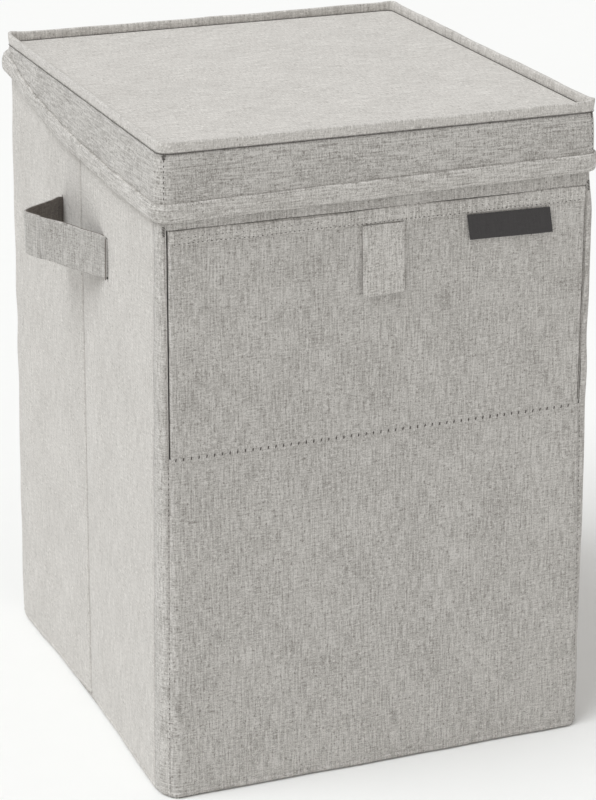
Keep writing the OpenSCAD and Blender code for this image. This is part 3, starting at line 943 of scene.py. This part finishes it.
class HAMPER_OT_line_walls(Operator):
    """Lines the walls, with a strip across each side's crease"""

    bl_idname = "hamper.line_walls"
    bl_label = "Line the walls"

    def execute(self, context):
        side, strip = run_to_side, 0.014
        corner = side(-CORNER_FOLD_Y)
        jamb = FRONT_RUN + CORNER_RUN
        doorway = (-jamb, jamb, HINGE_Z, DOORWAY_TOP + 0.001)
        front = lining_sheet("front_lining_cloth", -corner, corner, doorway)
        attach(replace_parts(front, "front_lining"), "front")
        rear = lining_sheet("back_lining_cloth", side(CORNER_FOLD_Y),
                            2 * run_to_rear(0) - side(CORNER_FOLD_Y))
        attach(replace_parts(rear, "back_lining"), "back")
        for hand, name in SIDES:
            spans = {"front": (side(-CORNER_FOLD_Y), side(-strip)),
                     "rear": (side(strip), side(CORNER_FOLD_Y))}
            for end, span in spans.items():
                low, high = sorted(hand * e for e in span)
                piece = lining_sheet(f"{end}_{name}_lining_cloth", low, high)
                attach(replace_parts(piece, f"{end}_{name}_lining"), f"{end}_{name}")
            low, high = sorted((hand * side(-strip), hand * side(strip)))
            crease = lining_sheet(f"{name}_crease_lining", low, high)
            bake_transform(crease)
        return {"FINISHED"}


def flat_panel(name, low, high, radius, material, edge, step, waves=0.0, seed=1, puff=0.0):
    """A closed flat cloth between two corners of a box, with round corners: a row at
    depth y reaches to ±(half_w - r + √(r² - g²)), where g is how far y goes into the
    corner. Sine waves that fade out at the border and a bell along it lift the cloth."""
    half_w, half_d = (high[0] - low[0]) / 2, (high[1] - low[1]) / 2
    mid_x, mid_y = (high[0] + low[0]) / 2, (high[1] + low[1]) / 2
    u = edge_lines(-half_w, half_w, step, edge)
    v = edge_lines(-half_d, half_d, step, edge)
    into = np.clip(np.abs(v) - (half_d - radius), 0, radius)
    reach = half_w - radius + np.sqrt(np.maximum(radius ** 2 - into ** 2, 0))
    x = u[:, None] * (reach / half_w)[None, :]
    y = np.broadcast_to(v[None, :], x.shape)
    rim = np.minimum(half_w - np.abs(u)[:, None], half_d - np.abs(v)[None, :])
    lift = waves * ripple(x, y, seed, 0.07) * smooth(rim / 0.02)
    lift = lift + puff * (bump(rim - 0.005, 0.003) - bump(rim, 0.0015))
    mid = stacked(x + mid_x, y + mid_y, (low[2] + high[2]) / 2 + lift)
    return slab(name, mid, UP, u, v, material, half=(high[2] - low[2]) / 2, edge=edge,
                turned=True)


class HAMPER_OT_sew_bottom(Operator):
    """Sews the soft bottom"""

    bl_idname = "hamper.sew_bottom"
    bl_label = "Sew the bottom"

    def execute(self, context):
        spread = bpy.context.scene.hamper_cloth.flare - 0.0035
        low = np.array([-HALF_W - spread, -HALF_D - spread, 0.0009])
        high = np.array([HALF_W + spread, HALF_D + spread, 0.0017])
        piece = flat_panel("bottom_cloth", low, high, CORNER_R, weave("shaded cover cloth"),
                           edge=0.0004, step=0.006)
        finish_piece(piece, "cover_fabric", "bottom_fabric")
        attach(piece, "back")
        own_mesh(piece)
        return {"FINISHED"}


# ---- Door ----

def door_skin(x, z, out=0.0):
    """The door's outer surface: flat, with sine waves that fade out at its hinge and top."""
    return -(HALF_D + COVER_LIFT + out + 0.00030 * ripple(x, z, 7, 0.075)
             * smooth((z - HINGE_Z) / 0.02) * smooth((DOOR_HIGH[2] - z) / 0.01))


def door_plate(name, low, high, y_out, y_in, material, edge, step):
    """A closed plate between two corners (x, z) whose faces lie at y_out(x, z) and
    y_in(x, z): its middle is their mean and half their distance is its half thickness."""
    u = edge_lines(low[0], high[0], step, edge)
    v = edge_lines(low[1], high[1], step, edge)
    x, z = spread(u, v)
    front, rear = y_out(x, z), y_in(x, z)
    mid = stacked(x, (front + rear) / 2, z)
    return slab(name, mid, FORWARD, u, v, material, half=(rear - front) / 2, edge=edge)


class HAMPER_OT_sew_door(Operator):
    """Sews the door: its cover, lining, hem, blank label and pull tab"""

    bl_idname = "hamper.sew_door"
    bl_label = "Sew the door"

    def execute(self, context):
        side, top = DOOR_HIGH[0], DOOR_HIGH[2]
        inner = -(HALF_D - WALL_T)
        cover = door_plate(
            "door_cloth", (-side - 0.0006, DOOR_LOW[2]), (side + 0.0006, top + 0.0004), door_skin,
            lambda x, z: inner + 0 * x, weave("shaded cover cloth"), edge=0.0013, step=0.003)
        finish_piece(cover, "cover_fabric", "door_cover")
        lining = door_plate(
            "door_lining_cloth", (-side + 0.006, DOOR_LOW[2] + 0.002), (side - 0.006, top - 0.01),
            lambda x, z: inner - 0.0001 + 0 * x, lambda x, z: inner + 0.0005 + 0 * x,
            lining_cloth(), edge=0.0005, step=0.008)
        finish_piece(lining, "lining_fabric", "door_lining")
        hem = self.sew_hem(side, top, cover)
        for piece in (cover, lining, hem):
            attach(piece, "door")
        self.sew_hem_rows(side)
        self.sew_label(cover)
        self.sew_tab(hem)
        return {"FINISHED"}

    def sew_hem(self, side, top, cover):
        """The folded top hem: over the door's skin it swells by the square root of a half
        sine wave across its width, and its upper edge wanders by two sine waves."""
        edge = 0.0008
        u = edge_lines(-side, side, 0.003, edge)
        v = edge_lines(HEM_LOW[2], top + 0.0004, 0.0018, edge)
        x, level = spread(u, v)
        wander = 0.0005 * np.sin(x / 0.019 + 1.1) + 0.0004 * np.sin(x / 0.043)
        z = level + wander * smooth((level - HEM_LOW[2]) / 0.006)
        fold = 0.0007 * np.sin(np.pi * np.clip((v - v[0]) / (v[-1] - v[0]), 0, 1)) ** 0.5
        y = door_skin(x, z, 0.0001) - fold[None, :] * (1 + 0.35 * ripple(x, z, 9, 0.03))
        hem = slab("door_hem_cloth", stacked(x, y + 0.0003, z), FORWARD, u, v,
                   weave("hem cloth"), half=0.0006, edge=edge)
        finish_piece(hem, "cover_fabric", "door_hem")
        return hem

    def sew_hem_rows(self, side):
        """Two rows of small stitches hold the hem: one near its lower edge, one above."""
        for name, lift, pitch, size in (("low", 0.0012, 0.0031, 0.0015),
                                        ("high", 0.0052, 0.0046, 0.0010)):
            x = np.arange(-side + 0.003, side - 0.002, pitch)
            z = HEM_LOW[2] + lift + 0.00025 * np.sin(x / 0.011)
            y = door_skin(x, z, 0.00115)
            stitches(f"door_hem_stitches_{name}", stacked(x, y, z), RIGHT + 0.1 * UP,
                     FORWARD, length=size, body="door", wide=0.00042)

    def sew_label(self, cover):
        """A blank woven label, sewn along its top edge. It is turned by just under one
        degree and slanted, so that x moves by 0.15 of the drop, and its free edge stands
        off the door by a sine wave that grows downwards."""
        width, height = LABEL_HIGH[0] - LABEL_LOW[0], LABEL_HIGH[2] - LABEL_LOW[2]
        mid_x, top = (LABEL_HIGH[0] + LABEL_LOW[0]) / 2, LABEL_HIGH[2]
        edge, turn, slant = 0.00035, np.radians(-0.8), 0.15
        u = edge_lines(-width / 2, width / 2, 0.0025, edge)
        v = edge_lines(-height, 0, 0.0015, edge)
        across, down = spread(u, v)
        x = mid_x + across * np.cos(turn) - down * (np.sin(turn) + slant)
        z = top + across * np.sin(turn) + down * np.cos(turn)
        free = smooth(-down / height)
        y = door_skin(x, z, 0.0009) - 0.0007 * free * (1 + 0.5 * np.sin(across / 0.011))
        label = slab("blank_woven_label", stacked(x, y, z), FORWARD, u, v,
                     weave("label weave"), half=edge, edge=edge)
        finish_piece(label, "label_weave", "blank_label")
        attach(label, "door")

    def sew_tab(self, hem):
        """The pull tab: folded webbing that hangs from the hem. It leaves the door's skin
        by an eased ramp towards its end, with a bell-shaped ridge along each side."""
        half_w = (TAB_HIGH[0] - TAB_LOW[0]) / 2
        top, length = TAB_HIGH[2], TAB_HIGH[2] - TAB_LOW[2]
        edge = 0.0008
        u = edge_lines(-half_w, half_w, 0.002, edge)
        v = edge_lines(-length, 0, 0.002, edge)
        x, down = spread(u, v)
        swing = smooth(-down / length)
        piping = 0.00025 * bump(half_w - np.abs(x) - 0.0022, 0.0010)
        y = door_skin(x, top + down) - 0.0013 - 0.0016 * swing - piping
        y = y - 0.0003 * ripple(x, down, 21, 0.04)
        z = top + down + 0.0004 * np.sin(x / 0.006) * swing
        tab = slab("pull_tab_webbing", stacked(x, y, z), FORWARD, u, v, weave("hem cloth"),
                   half=edge, edge=edge)
        finish_piece(tab, "strap_fabric", "pull_tab")
        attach(tab, "pull_tab")


class HAMPER_OT_sew_door_stop(Operator):
    """Covers the stop strip behind the door's top edge"""

    bl_idname = "hamper.sew_door_stop"
    bl_label = "Sew the door stop"

    def execute(self, context):
        stop = door_plate(
            "door_stop_cloth", (STOP_LOW[0], STOP_LOW[2]), (STOP_HIGH[0], STOP_HIGH[2]),
            lambda x, z: STOP_LOW[1] + 0.0001 + 0 * x,
            lambda x, z: STOP_HIGH[1] + 0.0002 * ripple(x, z, 13, 0.04),
            weave("hem cloth"), edge=0.0009, step=0.004)
        finish_piece(stop, "cover_fabric", "door_stop")
        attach(stop, "front")
        return {"FINISHED"}


# ---- Handles ----

def strap_path(share):
    """Centre line of a handle seen from above. It runs straight out from the front slit,
    turns at share p and runs straight back to the rear slit. With a = s/p and
    b = (1 - s)/(1 - p), out = bulge·(a + b - √((a - b)² + soft²))/2 for a soft bend."""
    bulge, peak, soft = 0.0375, 0.735, 0.16
    a, b = share / peak, (1 - share) / (1 - peak)
    out = bulge * (a + b - np.sqrt((a - b) ** 2 + soft ** 2)) / 2
    return HALF_W + np.maximum(out, 0), FRONT_SLIT_Y + share * (REAR_SLIT_Y - FRONT_SLIT_Y)


def strap_layer(name, hand, rear, material, offset, half):
    """One layer of a handle's front or rear half, at offset from the centre line along
    its normal. The strap ends inside the wall, narrows at the slit by an eased step, and
    rises towards the rear in a straight line."""
    crease = -FRONT_SLIT_Y / (REAR_SLIT_Y - FRONT_SLIT_Y)
    share = np.linspace(crease, 1, 25) if rear else np.linspace(0, crease, 23)
    x, y = strap_path(share)
    end = -1 if rear else 0
    tail = HALF_W - np.array([0.0045, 0.0025, 0.0008])
    tail_y = np.full(3, y[end])
    if rear:
        x, y = np.concatenate([x, tail[::-1]]), np.concatenate([y, tail_y])
    else:
        x, y = np.concatenate([tail, x]), np.concatenate([tail_y, y])
    run = np.concatenate([[0], np.cumsum(np.hypot(np.diff(x), np.diff(y)))])
    dx, dy = np.gradient(x, run), np.gradient(y, run)
    size = np.hypot(dx, dy)
    nx, ny = dy / size, -dx / size
    from_slit = run[-1] - run if rear else run
    half_w = (STRAP_HIGH[2] - STRAP_LOW[2]) / 2
    width = half_w - 0.0016 * (1 - smooth((from_slit - 0.004) / 0.007))
    edge = 0.0007
    v = edge_lines(-half_w, half_w, 0.003, edge)
    way_back = (y - FRONT_SLIT_Y) / (REAR_SLIT_Y - FRONT_SLIT_Y)
    mid_z = (STRAP_HIGH[2] + STRAP_LOW[2]) / 2 - 0.0005 + 0.003 * way_back[:, None]
    z = mid_z + v[None, :] * (width / half_w)[:, None]
    sag = 0.0009 * ripple(run[:, None], z, 31, 0.05) * smooth(from_slit / 0.02)[:, None]
    px = x[:, None] + nx[:, None] * (offset + sag)
    py = y[:, None] + ny[:, None] * (offset + sag)
    mid = stacked(hand * px, py, z)
    normal = stacked(hand * nx, ny, 0.0)[:, None, :]
    if hand < 0:
        mid, normal, run = mid[::-1], normal[::-1], run[-1] - run[::-1]
        rear = not rear
    piece = slab(name, mid, normal, run, v, material, half, edge, cut=(rear, not rear))
    return piece, (run[-1], 2 * half_w)


class HAMPER_OT_sew_handles(Operator):
    """Sews the two strap handles, each in two halves that part at the side's crease"""

    bl_idname = "hamper.sew_handles"
    bl_label = "Sew the handles"

    def execute(self, context):
        for hand, name in SIDES:
            for rear in (False, True):
                end = "rear" if rear else "front"
                body = f"{end}_{name}"
                strap, flat = strap_layer(f"{body}_strap", hand, rear, weave("strap cloth"),
                                          offset=0.0002, half=0.0007)
                lining, _ = strap_layer(f"{body}_strap_lining", hand, rear,
                                        weave("strap lining"), offset=-0.0008, half=0.0003)
                finish_piece(strap, "strap_fabric", f"{name}_handle")
                finish_piece(lining, "strap_fabric", f"{name}_handle")
                for piece in (strap, lining):
                    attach(piece, body)
                    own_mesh(piece)
                self.sew_anchor(hand, name, end, body)
            self.sew_slit_shadow_welt(hand, name)
        return {"FINISHED"}

    def sew_slit_shadow_welt(self, hand, name):
        """The dark welt along the free edge of a handle's front slit: a thin strip that follows
        the wall's stand-off. Its dark colour is painted shade for the shadow in the slit, besides
        the binding's own colour."""
        half_w, low, high, half = 0.0007, -0.0145, 0.0137, 0.0003
        u = edge_lines(-half_w, half_w, 0.0004, half)
        v = edge_lines(low, high, 0.002, 0.0006)
        away, up = spread(u, v)
        s = run_to_side(FRONT_SLIT_Y - 0.0036) + away
        z = (STRAP_LOW[2] + STRAP_HIGH[2]) / 2 + up
        mid = on_plan(hand * s, stand_off(s, z) + 0.0001, z)[::hand]
        # The dark strap lining on this strip is painted shade for the slit's shadow, on a welt
        # that also binds the slit.
        shadow_welt = slab(f"{name}_slit_shadow_welt", mid, hand * RIGHT, u, v, weave("strap lining"),
                    half=half, edge=half)
        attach(shadow_welt, f"front_{name}")

    def sew_anchor(self, hand, name, end, body):
        """The patch inside the wall that the strap's end is sewn under: flat, with a sum
        of faint sine waves."""
        low, high = corners(f"{name}_{end}_anchor")
        edge = 0.0006
        u = edge_lines(low[1], high[1], 0.004, edge)
        v = edge_lines(low[2], high[2], 0.004, edge)
        y, z = spread(u, v)
        x = (low[0] + high[0]) / 2 + 0.0001 * ripple(y, z, 17, 0.02)
        patch = slab(f"{name}_{end}_anchor_patch", stacked(x, y, z), RIGHT, u, v,
                     weave("hem cloth"), half=edge, edge=edge)
        finish_piece(patch, "strap_fabric", f"{name}_{end}_anchor")
        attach(patch, body)


# ---- Lid ----

def skirt_place(s):
    """Depth of the lid's skirt cloth at plan distance s, and the height of its lower
    edge. The front hangs level but for a slight tilt. Along a side at share t of the way
    back the cloth's depth is d + 0.0073·t - 0.0326·t³."""
    lid = bpy.context.scene.hamper_lid
    x, y, nx, ny = plan_point(s)
    t = np.clip((y + HALF_D) / (2 * HALF_D), 0, 1)
    depth = lid.skirt_depth + 0.0073 * t - 0.0326 * t ** 3
    tilt = 0.0022 * (x / HALF_W) * (1 - smooth(t / 0.5))
    depth = depth - tilt + lid.hem_height
    return depth, LID_LOW[2] - depth


def skirt_out(s, down):
    """How far the skirt stands out from the plan at share d of its depth: a straight
    line in d, plus a half sine wave of swell, plus an eased bulge at the rear corners,
    plus two sets of sine waves that fade out at the rim's foot."""
    lid = bpy.context.scene.hamper_lid
    x, y, nx, ny = plan_point(s)
    waves = ripple(s, 0.04 * down, 41, 0.05) + 0.6 * ripple(s, 0.04 * down, 42, 0.022)
    swell = 0.0009 * np.sin(np.pi * np.clip(down, 0, 1))
    rear = smooth((y - (HALF_D - 0.022)) / 0.02)
    out = 0.0012 + 0.0014 * down + swell + 0.0030 * rear * smooth(down / 0.7)
    return out + lid.skirt_ripple * waves * smooth(down / 0.25)


class HAMPER_OT_sew_lid(Operator):
    """Sews the lid's top cloth, its lining, the standing rim and the cloth hinge"""

    bl_idname = "hamper.sew_lid"
    bl_label = "Sew the lid"

    def execute(self, context):
        lid = bpy.context.scene.hamper_lid
        in_by = lid.rim_thickness * 0.4
        low, high = LID_LOW + [in_by, in_by, 0.0001], LID_HIGH - [in_by, in_by, -0.0001]
        top = flat_panel("lid_top_cloth", low, high, lid.corner_radius, weave("lit lid cloth"),
                         edge=0.0005, step=0.004, waves=0.00042, seed=51, puff=0.0003)
        finish_piece(top, "cover_fabric", "lid_cover")
        low, high = corners("lid_lining")
        over = np.array([0.0002, 0.0002, 0])
        lining = flat_panel("lid_lining_cloth", low - over, high + over, CORNER_R,
                            lining_cloth(), edge=0.0003, step=0.01)
        finish_piece(lining, "lining_fabric", "lid_lining")
        for piece in (top, lining):
            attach(piece, "lid")
        self.sew_rim()
        self.sew_hinge()
        return {"FINISHED"}

    def sew_rim(self):
        """The rim: a flattened tube round the lid. Its section is a rounded bar, with
        out = w/2·sign(c)·|c|^0.35 and rise = h/2·sign(n)·|n|^0.6 for c, n the cosine and
        sine of the turn. It leans out by the square of the rise, and a bell lifts it at
        each folded corner."""
        lid = bpy.context.scene.hamper_lid
        radius = lid.corner_radius
        size = {"radius": radius, "half_w": LID_HIGH[0], "half_d": LID_HIGH[1]}
        quarter = radius * np.pi / 2
        front, side = LID_HIGH[0] - radius, 2 * (LID_HIGH[1] - radius)
        half = 2 * front + 2 * quarter + side
        bends = np.concatenate([c + np.linspace(0, quarter, 9)
                                for c in (front, front + quarter + side)])
        s = np.concatenate([np.linspace(0, half, 180), bends])
        s = np.unique(np.round(s, 6))
        s = np.concatenate([-s[:0:-1], s])
        turn = np.linspace(0, 2 * np.pi, 17)
        c, n = np.cos(turn), np.sin(turn)
        section_out = lid.rim_thickness / 2 * np.sign(c) * np.abs(c) ** 0.35
        section_up = (1 + np.sign(n) * np.abs(n) ** 0.6) / 2
        corner_at = np.array([front + quarter / 2, front + 1.5 * quarter + side])
        marks = np.array([-corner_at[1], -corner_at[0], corner_at[0], corner_at[1]])
        rise = np.array([0.0012, 0.0002, 0.0014, 0.0008])
        flick = (bump(s[:, None] - marks, 0.007) * rise).sum(axis=1)[:, None]
        foot, crest = LID_LOW[2] + 0.0002, RIM_TOP + 0.0003
        height = crest - foot + flick + 0.0003 * ripple(s, 0 * s, 61, 0.08)[:, None]
        z = foot + height * section_up[None, :]
        lean = (0.0003 + 0.35 * flick) * section_up[None, :] ** 2
        wave = 0.0001 * ripple(s, 0 * s, 62, 0.06)[:, None] * section_up[None, :]
        out = section_out[None, :] - lid.rim_thickness / 2 + 0.0003 + lean + wave
        points = on_plan(s[:, None], out, z, **size)
        lengths = np.hypot(np.diff(section_out), np.diff(section_up * 0.006))
        around = np.concatenate([[0], np.cumsum(lengths)])
        uv = stacked(*spread(s, around))
        rim = add_piece("rim_cloth", points, grid_quads(points), uv, weave("rim cloth"))
        close_seams(rim, 1e-5)
        finish_piece(rim, "cover_fabric", "lid_rim")
        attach(rim, "lid")
        self.lay_thread("rim_inner_seam", s, -lid.rim_thickness - 0.0003, LID_HIGH[2] + 0.0003,
                      size)
        self.lay_thread("rim_outer_seam", s, 0.0002, LID_LOW[2] - 0.0001, size)

    def lay_thread(self, name, s, out, z, size):
        """A thin line of thread laid along the rim's foot: a round tube of five sides."""
        turn = np.linspace(0, 2 * np.pi, 6)
        radius = 0.00022
        points = on_plan(s[:, None], out + radius * np.cos(turn)[None, :],
                         z + radius * np.sin(turn)[None, :], **size)
        uv = stacked(*spread(s, 0.0003 * turn))
        seam = close_seams(add_piece(name, points, grid_quads(points), uv, thread()), 1e-5)
        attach(seam, "lid")

    def sew_hinge(self):
        """The cloth hinge behind the lid: a strip that lies on the back wall, passes the
        pivot and ends at the rim's foot. It is flat but for sine waves below the pivot."""
        low, high = corners("lid_hinge_strip")
        edge = 0.0006
        u = edge_lines(-HALF_W + CORNER_R, HALF_W - CORNER_R, 0.006, edge)
        v = edge_lines(low[2] - 0.001, LID_LOW[2] + 0.0004, 0.0012, edge)
        x, z = spread(u, v)
        out = 0.0016 + 0.00025 * ripple(x, z, 71, 0.04) * smooth((LID_PIVOT[2] - z) / 0.006)
        mid = stacked(x, HALF_D + out, z)[::-1]
        strip = slab("lid_hinge_cloth", mid, REARWARD, u, v, weave("hem cloth"), half=edge,
                     edge=edge)
        finish_piece(strip, "cover_fabric", "lid_hinge_strip")
        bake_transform(strip)


class HAMPER_OT_sew_skirt(Operator):
    """Sews the lid's skirt and its hem round the front and the sides"""

    bl_idname = "hamper.sew_skirt"
    bl_label = "Sew the skirt"

    def execute(self, context):
        lid = bpy.context.scene.hamper_lid
        end = run_to_side(HALF_D - CORNER_R) + 0.6 * CORNER_RUN
        bends = np.concatenate([c + np.linspace(0, CORNER_RUN, 9)
                                for c in (FRONT_RUN, FRONT_RUN + CORNER_RUN + SIDE_RUN)])
        half = np.concatenate([np.arange(0, end, 0.0026), bends[bends < end - 1e-4], [end]])
        half = np.unique(np.round(half, 6))
        s = np.concatenate([-half[:0:-1], half])
        down = np.linspace(0, 1, 15)
        depth, edge_z = skirt_place(s)
        z = LID_LOW[2] + 0.0002 - down[None, :] * depth[:, None]
        z = z[:, ::-1]
        out = skirt_out(s[:, None], down[None, ::-1])
        points = on_plan(s[:, None], out, z)
        uv = stacked(z, s[:, None])
        skirt = add_piece("skirt_cloth", points, grid_quads(points), uv, weave("shaded skirt cloth"))
        thicken(skirt, 0.0007)
        finish_piece(skirt, "cover_fabric", "lid_front_skirt", "lid_left_skirt",
                     "lid_right_skirt", "lid_skirt_corners")
        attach(skirt, "lid")
        self.sew_hem(s, depth, edge_z, skirt)
        self.sew_corner_seams()
        return {"FINISHED"}

    def sew_hem(self, s, depth, edge_z, skirt):
        """The hem: a soft folded band over the skirt's lower edge, with a row of stitches
        under its upper edge. It follows the skirt and swells by a half sine wave across
        its width, which sine waves along it make uneven."""
        lid = bpy.context.scene.hamper_lid
        edge, row = 0.0011, lid.hem_height - 0.0015
        v = edge_lines(0, lid.hem_height, 0.0016, edge)
        up = v[None, :]
        z = edge_z[:, None] - 0.0003 + up
        down = 1 - up / depth[:, None]
        belly = np.sin(np.pi * np.clip(up / lid.hem_height, 0, 1))
        puff = 0.0005 * belly * (1 + 0.6 * ripple(s[:, None], up, 45, 0.02))
        out = skirt_out(s[:, None], down) + 0.0007 + puff
        mid = on_plan(s[:, None], out, z)
        hem = slab("skirt_hem_cloth", mid, plan_normal(s)[:, None, :], s, v,
                   weave("hem cloth"), half=edge, edge=edge, turned=True)
        finish_piece(hem, "cover_fabric", "lid_hem")
        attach(hem, "lid")
        at = np.arange(s[0] + 0.004, s[-1] - 0.003, 0.0030)
        deep, low = skirt_place(at)
        places = on_plan(at, skirt_out(at, 1 - row / deep) + 0.0018, low + row)
        stitches("skirt_hem_stitches", places, np.gradient(places, axis=0), plan_normal(at),
                 length=0.0014, body="lid", wide=0.0004)

    def sew_corner_seams(self):
        """Upright seams at the skirt's front corners, each with a bar tack at its top."""
        lid = bpy.context.scene.hamper_lid
        for hand, name in SIDES:
            s0 = hand * (FRONT_RUN + 0.42 * CORNER_RUN)
            depth, _ = skirt_place(np.array([s0]))
            reach = depth[0] - lid.hem_height
            z = LID_LOW[2] - np.arange(0.0045, reach - 0.001, 0.0034)
            s = np.full(len(z), s0)
            out = skirt_out(s, (LID_LOW[2] - z) / depth[0]) + 0.0001
            stitches(f"skirt_{name}_corner_stitches", on_plan(s, out, z), UP,
                     plan_normal(s), length=0.0019, body="lid", wide=0.0005)
            z = LID_LOW[2] - 0.0006 - 0.0009 * np.arange(4)
            s = np.full(len(z), s0)
            out = skirt_out(s, (LID_LOW[2] - z) / depth[0]) + 0.0002
            normals = plan_normal(s)
            stitches(f"skirt_{name}_bar_tack", on_plan(s, out, z), np.cross(UP, normals),
                     normals, length=0.0032, body="lid", wide=0.0006)


# ---- Base panel ----

class HAMPER_OT_sew_base(Operator):
    """Covers the loose base panel and loops its lifting ribbon"""

    bl_idname = "hamper.sew_base"
    bl_label = "Sew the base panel"

    def execute(self, context):
        for name, node in (("base_cover_cloth", "base_cover"), ("base_liner_cloth", "base_liner")):
            low, high = corners(node)
            piece = flat_panel(name, low, high, 0.006, lining_cloth(), edge=0.0003,
                               step=0.008, waves=0.00008, seed=81)
            finish_piece(piece, "lining_fabric", node)
            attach(piece, "base")
        self.loop_ribbon()
        return {"FINISHED"}

    def loop_ribbon(self):
        """The lifting ribbon: it arches over the panel by the square of a half sine."""
        low, high = corners("base_ribbon")
        edge = 0.00025
        u = edge_lines(low[0], high[0], 0.002, edge)
        v = edge_lines(low[1], high[1], 0.001, edge)
        x, y = spread(u, v)
        t = (y - low[1]) / (high[1] - low[1])
        mid = stacked(x, y, low[2] + 0.0003 + 0.004 * np.sin(np.pi * t) ** 2)
        ribbon = slab("base_ribbon_loop", mid, UP, u, v, weave("hem cloth"), half=edge,
                      edge=edge)
        finish_piece(ribbon, "strap_fabric", "base_ribbon")
        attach(ribbon, "base")


class HAMPER_OT_finish_boards(Operator):
    """Gives the boards, the magnets and the rim's strip their own materials"""

    bl_idname = "hamper.finish_boards"
    bl_label = "Finish the boards"

    def execute(self, context):
        steel, plastic = plated_steel(), strip_plastic()
        for name, node in frame["nodes"].items():
            if "board" in name:
                node.data.materials[0] = board_fibre()
            elif "magnet" in name:
                node.data.materials[0] = steel
            elif name == "rim_strip":
                node.data.materials[0] = plastic
        return {"FINISHED"}


# ---- Stage ----

class HAMPER_OT_set_stage(Operator):
    """Lays the floor and sets the lights and the camera"""

    bl_idname = "hamper.set_stage"
    bl_label = "Set the stage"

    def execute(self, context):
        stage = bpy.context.scene.hamper_stage
        self.lay_floor(stage)
        self.hang_lights(stage)
        self.place_camera(stage)
        context.scene.view_settings.view_transform = "Standard"
        return {"FINISHED"}

    def lay_floor(self, stage):
        """A wide flat floor in a pale mottled paint."""
        material = fibre_material("studio floor", tuple(stage.floor_colour), roughness=0.9,
                                  mottle=0.02, relief=0.00002)
        reach = 7.0
        points = np.array([[-reach, -reach, 0], [reach, -reach, 0],
                           [-reach, reach, 0], [reach, reach, 0]], float)
        index = np.array([[0, 2], [1, 3]])
        uv = points[:, :2]
        floor = add_piece("studio_floor", points, quads_between(index), uv, material)

    def hang_lights(self, stage):
        """Even light from all round, and a broad key light from the upper left."""
        world = bpy.data.worlds.new("studio")
        bpy.context.scene.world = world
        world.use_nodes = True
        sky = world.node_tree.nodes["Background"]
        sky.inputs["Color"].default_value = (1.0, 0.985, 0.965, 1)
        sky.inputs["Strength"].default_value = stage.sky
        toward = np.array([-0.307, -0.06, 0.50])
        toward = toward / np.linalg.norm(toward)
        light = bpy.data.lights.new("key", "SUN")
        light.angle = np.radians(38)
        light.energy = stage.key
        light.color = (0.95, 0.98, 1.0)
        lamp = bpy.data.objects.new("key", light)
        lamp.location = toward * 3.0 + np.array([0, 0, 0.2])
        z = toward
        x = np.cross([0, 0, 1.0], z)
        x = x / np.linalg.norm(x)
        lamp.rotation_euler = Matrix(np.stack([x, np.cross(z, x), z], axis=1)).to_euler()
        bpy.context.scene.collection.objects.link(lamp)

    def place_camera(self, stage):
        """The camera looks back along its bearing, stepped aside and down, with a slight
        roll."""
        a, e = stage.azimuth, stage.elevation
        back = np.array([np.sin(a) * np.cos(e), -np.cos(a) * np.cos(e), np.sin(e)])
        right = np.array([np.cos(a), np.sin(a), 0])
        up = np.cross(back, right)
        place = (back * stage.distance + right * stage.side_step - up * stage.drop
                 + WALL_MIDDLE * UP)
        c, s = np.cos(stage.roll), np.sin(stage.roll)
        right, up = right * c + up * s, up * c - right * s
        data = bpy.data.cameras.new("camera")
        data.lens = stage.lens
        data.sensor_width = 36
        data.clip_end = 50
        camera = bpy.data.objects.new("camera", data)
        turned = np.eye(4)
        turned[:3, :3] = np.stack([right, up, back], axis=1)
        turned[:3, 3] = place
        camera.matrix_world = Matrix(turned)
        bpy.context.scene.collection.objects.link(camera)
        bpy.context.scene.camera = camera


class HAMPER_PT_panel(Panel):
    """Lists the settings and the steps"""

    bl_label = "Laundry Hamper"
    bl_idname = "HAMPER_PT_panel"
    bl_space_type = "VIEW_3D"
    bl_region_type = "UI"
    bl_category = "Hamper"

    def draw(self, context):
        for settings in SETTINGS:
            group = getattr(context.scene, settings)
            box = self.layout.box()
            for key in group.bl_rna.properties.keys():
                if key not in ("rna_type", "name"):
                    box.prop(group, key)
        for step in OPERATORS:
            self.layout.operator(step.bl_idname)


SETTINGS = {
    "hamper_cloth": HamperClothSettings,
    "hamper_lid": HamperLidSettings,
    "hamper_thread": HamperThreadSettings,
    "hamper_stage": HamperStageSettings,
}
OPERATORS = (
    HAMPER_OT_set_stage,
    HAMPER_OT_finish_boards,
    HAMPER_OT_sew_walls,
    HAMPER_OT_bind_doorway,
    HAMPER_OT_line_walls,
    HAMPER_OT_sew_bottom,
    HAMPER_OT_sew_door,
    HAMPER_OT_sew_door_stop,
    HAMPER_OT_sew_handles,
    HAMPER_OT_sew_lid,
    HAMPER_OT_sew_skirt,
    HAMPER_OT_sew_base,
)


def register():
    for settings in SETTINGS.values():
        bpy.utils.register_class(settings)
    for name, settings in SETTINGS.items():
        setattr(bpy.types.Scene, name, PointerProperty(type=settings))
    for step in (*OPERATORS, HAMPER_PT_panel):
        bpy.utils.register_class(step)


def unregister():
    for step in (HAMPER_PT_panel, *reversed(OPERATORS)):
        bpy.utils.unregister_class(step)
    for name, settings in SETTINGS.items():
        delattr(bpy.types.Scene, name)
        bpy.utils.unregister_class(settings)


def main():
    """Runs every step in order."""
    register()
    for step in OPERATORS:
        group, name = step.bl_idname.split(".")
        getattr(getattr(bpy.ops, group), name)()


if __name__ == "__main__":
    main()
